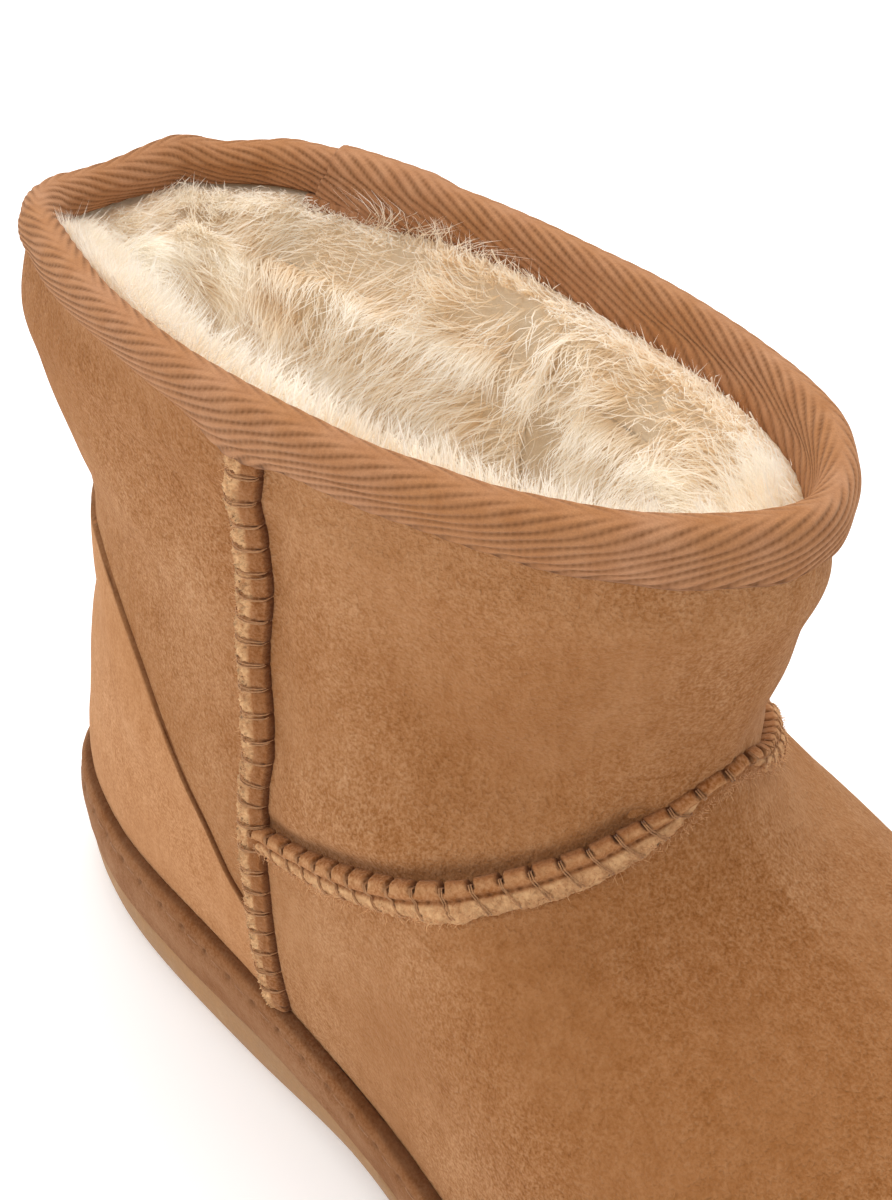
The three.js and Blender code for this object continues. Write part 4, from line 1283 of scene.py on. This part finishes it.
def build_outsole(colours):
    rings = []
    for drawn_in, share in SOLE_SIDE:
        loop = feather_loop(OUTSOLE_AROUND, SOLE_EDGE - drawn_in)
        low, high = underside(loop[:, 0]), HEIGHTS["sole"](loop[:, 0])
        loop[:, 2] = low + (high - low) * share
        rings.append(loop)
    side = np.array(rings)
    tread = ruled_across(rings[0], SOLE_ACROSS)
    x, y = tread[..., 0], tread[..., 1]
    width = np.linalg.norm(tread[:, :1] - tread[:, -1:], axis=-1)
    from_edge = np.minimum(np.arange(SOLE_ACROSS), np.arange(SOLE_ACROSS)[::-1]) / (SOLE_ACROSS - 1) * width
    zigzag = 1.6 * np.abs((y / 8.0) % 2 - 1)
    groove = np.clip(1.9 - np.abs((x + zigzag) % LUG_PITCH - LUG_PITCH / 2), 0, 0.7) / 0.7
    inside = np.clip((from_edge - 8) / 1.5, 0, 1)
    zone = sum(np.clip(np.minimum(x - a, b - x) / 2 + 1, 0, 1) for a, b in TREADS)
    tread[..., 2] = underside(x) + 1.7 * groove * inside * np.clip(zone, 0, 1)
    lid = ruled_across(rings[-1], LID_ACROSS)
    points = np.concatenate([side.reshape(-1, 3), tread.reshape(-1, 3), lid.reshape(-1, 3)])
    wall = grid_faces(len(SOLE_SIDE), OUTSOLE_AROUND, close_columns=True)
    rows = OUTSOLE_AROUND // 2 + 1
    first = len(SOLE_SIDE) * OUTSOLE_AROUND
    bottom = grid_faces(rows, SOLE_ACROSS, first=first)
    top = grid_faces(rows, LID_ACROSS, first=first + rows * SOLE_ACROSS)[:, ::-1]
    piece = new_piece("moulded_outsole", points, [wall, bottom, top],
                      foam_material("Sole Foam", tuple(colours.sole)))
    weld(piece)
    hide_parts("outsole")


def weld(piece):
    """Joins points that lie on each other, and drops faces that this leaves without area."""
    work = bmesh.new()
    work.from_mesh(piece.data)
    bmesh.ops.remove_doubles(work, verts=work.verts, dist=2e-6)
    bmesh.ops.dissolve_degenerate(work, edges=work.edges, dist=1e-7)
    bmesh.ops.recalc_face_normals(work, faces=work.faces)
    work.to_mesh(piece.data)
    work.free()


INSOLE_THICK = 7.0
INSOLE_SIDE = ((0.5, 0.0), (0.0, 0.25), (0.0, 0.6), (0.5, 0.85), (1.6, 0.97), (3.0, 1.0))
INSOLE_AROUND = 300
INSOLE_ACROSS = 30


def build_footbed(colours):
    rng = draws("footbed")
    rings = []
    for drawn_in, share in INSOLE_SIDE:
        loop = feather_loop(INSOLE_AROUND, -1.1 - drawn_in, inward=WALLS[0])
        loop[:, 2] = HEIGHTS["sole"](loop[:, 0]) + 0.35 + INSOLE_THICK * share
        rings.append(loop)
    top = ruled_across(rings[-1], INSOLE_ACROSS)
    share = np.linspace(-1, 1, INSOLE_ACROSS)[None, :]
    pressed = 1.1 * (1 - share**2) * (dent(top[..., 0] - 35, 28) + dent(top[..., 0] - 190, 34))
    woolly = lattice(rng, np.broadcast_to((share + 1) / 2.01, top.shape[:2]), top[..., 0] / 280, 14, 60)
    width = np.linalg.norm(top[:, :1] - top[:, -1:], axis=-1)
    top[..., 2] += (0.35 * woolly - pressed) * (1 - share**6) * np.clip(width / 12, 0, 1)
    base = ruled_across(rings[0], LID_ACROSS)
    points = np.concatenate([np.array(rings).reshape(-1, 3), top.reshape(-1, 3), base.reshape(-1, 3)])
    wall = grid_faces(len(INSOLE_SIDE), INSOLE_AROUND, close_columns=True)
    rows = INSOLE_AROUND // 2 + 1
    first = len(INSOLE_SIDE) * INSOLE_AROUND
    faces = [wall, grid_faces(rows, INSOLE_ACROSS, first=first)[:, ::-1],
             grid_faces(rows, LID_ACROSS, first=first + rows * INSOLE_ACROSS)]
    material = fleece_material("Footbed Fleece", tuple(colours.fleece_root), tuple(colours.fleece),
                               relief=0.9)
    piece = new_piece("footbed", points, faces, material,
                      {"length": np.full(len(points), 0.75), "lock": np.full(len(points), 0.5)})
    weld(piece)
    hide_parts("insole")


# ---- fleece ----
LINING_TOP = 9.85
LINING_AROUND = 200
LINING_ROWS = 68
PILE_LOW = 4.2
PILE_HIGH = 9.85
PILE_BODY = 6.0
LINING_BACK = 1.9  # how far inside the skin the back of the lining lies
FIBRE_WIDTH = 0.28
# Places where the pile parts: X, Y, Z, radius.
HOLLOWS = ((7, 27, 106, 13), (88, 25, 112, 11), (48, 34, 104, 7))


def beside_end(around):
    """1 where the folded-under end of the tape lies over the wool, 0 away from it."""
    behind = (JOIN_PLACE - np.asarray(around) + 0.5) % 1.0 - 0.5
    return np.clip((behind + 0.012) / 0.01, 0, 1) * np.clip((0.058 - behind) / 0.012, 0, 1)


def pile_base(around, up):
    """How far inside the skin the dense body of the wool ends."""
    rng = draws("pile_body")
    place = np.asarray(up) * LAST_SECTION
    full = np.interp(place, (3.0, 5.5, 8.9, 9.45, 9.7, 9.85), (0, 0.8, 1, 0.85, 0.6, 0.3))
    broad = lattice(rng, around, up, 13, 9)
    fine = lattice(rng, around, up, 60, 34)
    body = full * (PILE_BODY + 1.6 * broad + 0.7 * fine)
    body = body * (1 - 0.85 * beside_end(around) * np.clip((place - 8.7) / 0.4, 0, 1))
    return np.maximum(wall_at(up) - 1.2 + body, 2.2)


def build_lining(colours):
    around = even_around(0.7, LINING_AROUND + 1)[0][:-1][None, :]
    up = np.linspace(0.012, LINING_TOP / LAST_SECTION, LINING_ROWS)[:, None]
    around = around + 0 * up
    inner = SKIN.at(around, up + 0 * around, -pile_base(around, up + 0 * around))
    outer = SKIN.at(around, up + 0 * around, -LINING_BACK + 0 * around)
    points = np.concatenate([inner[::-1], outer])
    material = fleece_material("Fleece Lining", tuple(colours.fleece_root), tuple(colours.fleece_deep),
                               relief=1.0)
    values = {"length": np.full(points.shape[:2], 0.35), "lock": np.full(points.shape[:2], 0.35)}
    new_piece("fleece_lining", points, grid_faces(len(points), LINING_AROUND, True, True), material,
              values)


def wool_direction(around, up):
    """Which way the wool lies: out of the wall, up near the tape, combed down lower, in broad swirls."""
    rng = draws("wool_lie")
    inward = -SKIN.normal(around, up)
    rise = (up * LAST_SECTION - PILE_LOW) / (PILE_HIGH - PILE_LOW)
    lean = np.interp(rise, (0, 0.5, 0.8, 0.92, 1), (-1.3, -0.9, -0.35, 0.25, 0.8))
    lean = lean + 0.55 * lattice(rng, around, up, 24, 14) + 0.25 * lattice(rng, around, up, 70, 40)
    drift = 0.6 * lattice(rng, around, up, 20, 12) + 0.4 * lattice(rng, around, up, 76, 44)
    drifting = np.cross(inward, (0, 0, 1.0)) * drift[..., None]
    direction = inward + drifting + np.array([0, 0, 1.0]) * lean[..., None]
    return direction / np.linalg.norm(direction, axis=-1, keepdims=True)


def wool_fibres(sizes, rng, count):
    """Paths of fibres, loosely gathered in locks: (fibres, 4, 3), with a tone for each."""
    locks = sizes.locks
    lock_around = rng.uniform(0, 1, locks)
    lock_up = (PILE_LOW + (PILE_HIGH - PILE_LOW) * rng.uniform(0, 1, locks) ** 0.8) / LAST_SECTION
    owner = rng.integers(0, locks, count)
    around = lock_around[owner] + rng.normal(0, 0.0075, count)
    up = lock_up[owner] + rng.normal(0, 0.018, count)
    up = np.clip(up, PILE_LOW / LAST_SECTION, PILE_HIGH / LAST_SECTION)
    start = SKIN.at(around, up, -(pile_base(around, up) - 0.7))
    crown = rng.uniform(0, 1, count) < 0.12
    up[crown] = PILE_HIGH / LAST_SECTION - rng.uniform(0, 0.012, crown.sum())
    around[crown] = rng.uniform(0, 1, crown.sum())
    start[crown] = SKIN.at(around[crown], up[crown], -3.6 - 4.4 * rng.uniform(0, 1, crown.sum()))
    direction = wool_direction(around, up) + rng.normal(0, 0.16, (count, 3))
    root = SKIN.at(lock_around, lock_up, -pile_base(lock_around, lock_up))
    lock_direction = wool_direction(lock_around, lock_up)
    length = (sizes.fleece_length / MM - PILE_BODY) * rng.uniform(0.8, 1.15, locks)
    for x, y, z, radius in HOLLOWS:
        length = length * (1 - 0.5 * dent(np.linalg.norm(root - (x, y, z), axis=-1), radius))
    tip = root + lock_direction * length[:, None]
    own = length[owner] * rng.uniform(0.55, 1.1, count)
    own[crown] *= 0.62
    own *= 1 - 0.75 * beside_end(around) * np.clip((up * LAST_SECTION - 8.9) / 0.3, 0, 1)
    gather = rng.uniform(0.1, 0.6, count)[:, None] * ~crown[:, None]
    end = (start + direction * own[:, None]) * (1 - gather) + tip[owner] * gather
    end = end + rng.normal(0, 0.4, (count, 3))
    inward = -SKIN.normal(around, up)
    inward[crown] += (0, 0, 0.9)
    bend = start + inward * (0.5 * own)[:, None] + rng.normal(0, 0.5, (count, 3))
    share = np.linspace(0, 1, 4)[None, :, None]
    path = start[:, None] * (1 - share) ** 2 + 2 * bend[:, None] * share * (1 - share)
    path = path + end[:, None] * share**2
    curl_axis = rng.normal(size=(locks, 3))[owner] + 0.6 * rng.normal(size=(count, 3))
    phase = rng.uniform(0, 2 * math.pi, locks)[owner] + rng.normal(0, 0.6, count)
    path = path + 0.4 * (np.sin(share * 6.0 + phase[:, None, None]) * share) * curl_axis[:, None]
    tone = np.clip(rng.uniform(0.2, 0.9, locks)[owner] + rng.normal(0, 0.15, count), 0, 1)
    return path, tone, inward + np.array([0, 0, 0.9])


def rim_wisps(rng, first_x, last_x, side, count, reach):
    """Loose fibres that stand up past the tape's inner edge and lie over it."""
    ring = SKIN.at(SKIN.around, np.ones(SKIN.AROUND))
    usable = (ring[:, 0] > first_x) & (ring[:, 0] < last_x) & ((SKIN.around < 0.5) == (side < 0))
    clumps = rng.choice(SKIN.around[usable], 26)
    around = rng.choice(clumps, count) + rng.normal(0, 0.0035, count)
    sway = rng.normal(0, 0.010, count)
    share = np.linspace(0, 1, 4)
    high = reach * rng.uniform(0.35, 1.1, count)
    rise = -8.0 + (8.0 + high)[:, None] * share**0.8
    out = -5.0 + rng.uniform(-1.2, 0.2, count)[:, None] + (rng.uniform(-1.5, 2.4, count)[:, None]) * share**2
    place = around[:, None] + sway[:, None] * share**1.5 + 0.002 * np.sin(share * 6 + around[:, None] * 90)
    return on_tape(place, out, rise), rng.uniform(0.4, 1, count)


def build_fleece(sizes, colours):
    build_lining(colours)
    material = fleece_material("Fleece Pile", tuple(colours.fleece_root), tuple(colours.fleece))
    for name in ("fleece_pile_a", "fleece_pile_b"):
        rng = draws(name)
        paths, tone, face = wool_fibres(sizes, rng, sizes.fibres)
        near, near_tone = rim_wisps(rng, 12, 62, -1, 300, 2.6)
        far, far_tone = rim_wisps(rng, 34, 62, 1, 50, -2.0)
        paths = np.concatenate([paths, near, far])
        tone = np.concatenate([tone, near_tone, far_tone])
        face = np.concatenate([face, np.tile((0, 0, 1.0), (len(near) + len(far), 1))])
        widths = FIBRE_WIDTH * rng.uniform(0.5, 1.25, len(paths))
        widths[len(widths) - len(near) - len(far):] *= 0.6
        points, faces, share, size = strand_mesh(paths, widths, rng, face)
        new_piece(name, points, faces, material, {"length": share, "lock": np.repeat(tone, size)})


# ---- stage ----
TARGET = (79.56, 6.3, 89.13)
TURN = math.radians(42.5)
LIFT = math.radians(36.4)
ROLL = math.radians(5.97)
AWAY = 300.2
LENS = 53.01
FLOOR_GLOW = 0.24  # keeps the shadow on the floor faint
DAYLIGHT = 0.62
# Square lamps: name, place, what it points at, side, power.
LIGHTS = (
    ("softbox_over", (-0.25, 0.25, 1.0), (0, 0, 0.06), 1.1, 9.0),
    ("fill_left", (-0.55, -0.85, 0.55), (-0.05, 0, 0.06), 0.8, 3.2),
    ("fill_right", (0.9, -0.35, 0.5), (0.05, 0, 0.06), 0.7, 1.2),
)


def build_stage(colours):
    scene = bpy.context.scene
    size = 4.0
    steps = np.linspace(-size, size, 5)
    points = [(x, y, 0.0) for y in steps for x in steps]
    mesh = bpy.data.meshes.new("floor")
    mesh.from_pydata(points, [], grid_faces(5, 5).tolist())
    floor = bpy.data.objects.new("floor", mesh)
    scene.collection.objects.link(floor)
    made, tree = new_material("Floor Paper")
    shader = surface_shader(tree, tuple(colours.floor), 0.9, specular=0.05)
    shader.inputs["Emission Color"].default_value = (1.0, 1.0, 1.0, 1.0)
    shader.inputs["Emission Strength"].default_value = FLOOR_GLOW
    mesh.materials.append(made)
    for light in LIGHTS:
        add_light(*light)
    world = bpy.data.worlds.new("Soft Daylight")
    world.use_nodes = True
    world.node_tree.nodes["Background"].inputs["Color"].default_value = (1.0, 1.0, 1.0, 1.0)
    world.node_tree.nodes["Background"].inputs["Strength"].default_value = DAYLIGHT
    scene.world = world
    scene.view_settings.view_transform = "Standard"
    add_camera()


def look_along(thing, spot, aim):
    thing.location = spot
    thing.rotation_mode = "QUATERNION"
    thing.rotation_quaternion = (Vector(aim) - Vector(spot)).to_track_quat("-Z", "Y")


def add_light(name, spot, aim, size, power):
    data = bpy.data.lights.new(name, "AREA")
    data.size = size
    data.energy = power
    light = bpy.data.objects.new(name, data)
    bpy.context.scene.collection.objects.link(light)
    look_along(light, spot, aim)


def add_camera():
    back = Vector((math.sin(TURN) * math.cos(LIFT), -math.cos(TURN) * math.cos(LIFT), math.sin(LIFT)))
    target = (Vector(TARGET) + Vector(SHIFT)) * MM
    data = bpy.data.cameras.new("camera")
    data.sensor_fit = "AUTO"
    data.sensor_width = 36.0
    data.lens = LENS
    camera = bpy.data.objects.new("camera", data)
    bpy.context.scene.collection.objects.link(camera)
    camera.location = target + back * AWAY * MM
    camera.rotation_mode = "QUATERNION"
    camera.rotation_quaternion = back.to_track_quat("Z", "Y") @ Quaternion((0, 0, 1), ROLL)
    bpy.context.scene.camera = camera


# ---- settings ----
def size_setting(name, description, default):
    return bpy.props.FloatProperty(name=name, description=description, default=default, unit="LENGTH",
                                   precision=5)


def colour_setting(name, description, swatch):
    return bpy.props.FloatVectorProperty(name=name, description=description, size=3, subtype="COLOR",
                                         min=0.0, max=1.0, default=from_srgb(*swatch))


class BootSizes(bpy.types.PropertyGroup):
    """Sizes of the parts that are sewn or laid on the boot."""

    hide_thickness: size_setting("Hide thickness", "Thickness of the suede side of the hide", 0.0016)
    rib_pitch: size_setting("Rib pitch", "Distance between the ribs of the collar tape", 0.0013)
    seam_height: size_setting("Seam height", "How far the raised seams stand out", 0.0022)
    stitch_pitch: size_setting("Stitch pitch", "Distance between stitches of the raised seams", 0.0045)
    band_proud: size_setting("Band stands out", "How far the wrapped band stands out", 0.0039)
    fleece_length: size_setting("Fleece length", "Length of the wool inside the shaft", 0.0155)
    locks: bpy.props.IntProperty(name="Locks", description="Locks of wool in each half of the pile",
                                 default=900)
    fibres: bpy.props.IntProperty(name="Fibres", description="Fibres in each half of the pile", default=37400)


class BootColours(bpy.types.PropertyGroup):
    """Colours of the boot's materials."""

    suede: colour_setting("Suede", "Brushed side of the hide", (166, 116, 74))
    counter: colour_setting("Counter", "Suede patch round the heel", (179, 128, 85))
    seam: colour_setting("Seam", "Cut suede of the raised seams", (164, 111, 69))
    raw_edge: colour_setting("Raw edge", "Rubbed raw edge of the seams", (222, 176, 128))
    thread: colour_setting("Thread", "Thread of the raised seams", (170, 122, 80))
    band: colour_setting("Band", "Wrapped band", (136, 91, 57))
    band_rubbed: colour_setting("Band rubbed", "Rubbed middle of the band", (160, 116, 82))
    band_thread: colour_setting("Band thread", "Stitches of the band", (150, 106, 72))
    twill: colour_setting("Twill", "Ribs of the collar tape", (174, 124, 86))
    # Painted shade: the colour of the tape's grooves.
    twill_groove_shade: colour_setting("Twill grooves", "Grooves of the collar tape", (132, 89, 56))
    fleece: colour_setting("Fleece tips", "Tips of the wool", (255, 250, 240))
    fleece_root: colour_setting("Fleece roots", "Roots of the wool", (245, 226, 196))
    fleece_deep: colour_setting("Fleece deep", "Wool deep in the shaft", (248, 232, 206))
    sole: colour_setting("Sole", "Moulded outsole", (164, 122, 78))
    floor: colour_setting("Floor", "Floor of the stage", (252, 252, 252))


# ---- operators ----
class BootStep:
    """A step of the boot, built with the settings of the scene."""

    bl_options = {"REGISTER", "UNDO"}

    def execute(self, context):
        self.build(context.scene.boot_sizes, context.scene.boot_colours)
        return {"FINISHED"}


class BOOT_OT_upper(BootStep, bpy.types.Operator):
    """Builds the brushed suede shell of the boot"""

    bl_idname = "boot.upper"
    bl_label = "Suede upper"

    def build(self, sizes, colours):
        build_upper(sizes, colours)


class BOOT_OT_counter(BootStep, bpy.types.Operator):
    """Lays the suede counter round the heel"""

    bl_idname = "boot.counter"
    bl_label = "Heel counter"

    def build(self, sizes, colours):
        build_counter(colours)


class BOOT_OT_seams(BootStep, bpy.types.Operator):
    """Sews the raised side seams and the seam over the instep"""

    bl_idname = "boot.seams"
    bl_label = "Raised seams"

    def build(self, sizes, colours):
        build_seams(sizes, colours)


class BOOT_OT_tape(BootStep, bpy.types.Operator):
    """Folds the twill tape over the collar"""

    bl_idname = "boot.tape"
    bl_label = "Collar tape"

    def build(self, sizes, colours):
        build_tape(sizes, colours)


class BOOT_OT_band(BootStep, bpy.types.Operator):
    """Wraps the suede band round the lower edge"""

    bl_idname = "boot.band"
    bl_label = "Wrapped band"

    def build(self, sizes, colours):
        build_band(sizes, colours)


class BOOT_OT_outsole(BootStep, bpy.types.Operator):
    """Moulds the outsole with its tread"""

    bl_idname = "boot.outsole"
    bl_label = "Outsole"

    def build(self, sizes, colours):
        build_outsole(colours)


class BOOT_OT_footbed(BootStep, bpy.types.Operator):
    """Lays the padded footbed inside"""

    bl_idname = "boot.footbed"
    bl_label = "Footbed"

    def build(self, sizes, colours):
        build_footbed(colours)


class BOOT_OT_fleece(BootStep, bpy.types.Operator):
    """Lines the boot with wool"""

    bl_idname = "boot.fleece"
    bl_label = "Fleece"

    def build(self, sizes, colours):
        build_fleece(sizes, colours)


class BOOT_OT_stage(BootStep, bpy.types.Operator):
    """Sets the floor, the lights and the camera"""

    bl_idname = "boot.stage"
    bl_label = "Stage"

    def build(self, sizes, colours):
        build_stage(colours)


STEPS = (BOOT_OT_upper, BOOT_OT_counter, BOOT_OT_seams, BOOT_OT_tape, BOOT_OT_band, BOOT_OT_outsole,
         BOOT_OT_footbed, BOOT_OT_fleece, BOOT_OT_stage)


class BOOT_PT_steps(bpy.types.Panel):
    """The steps of the boot and its settings"""

    bl_label = "Sheepskin Boot"
    bl_idname = "BOOT_PT_steps"
    bl_space_type = "VIEW_3D"
    bl_region_type = "UI"
    bl_category = "Boot"

    def draw(self, context):
        layout = self.layout
        for step in STEPS:
            layout.operator(step.bl_idname)
        for group in (context.scene.boot_sizes, context.scene.boot_colours):
            box = layout.box()
            for name in type(group).__annotations__:
                box.prop(group, name)


CLASSES = (BootSizes, BootColours, *STEPS, BOOT_PT_steps)


def register():
    for each in CLASSES:
        bpy.utils.register_class(each)
    bpy.types.Scene.boot_sizes = bpy.props.PointerProperty(type=BootSizes)
    bpy.types.Scene.boot_colours = bpy.props.PointerProperty(type=BootColours)


def unregister():
    del bpy.types.Scene.boot_colours
    del bpy.types.Scene.boot_sizes
    for each in reversed(CLASSES):
        bpy.utils.unregister_class(each)


def main():
    register()
    for step in STEPS:
        category, name = step.bl_idname.split(".")
        getattr(getattr(bpy.ops, category), name)()


if __name__ == "__main__":
    main()
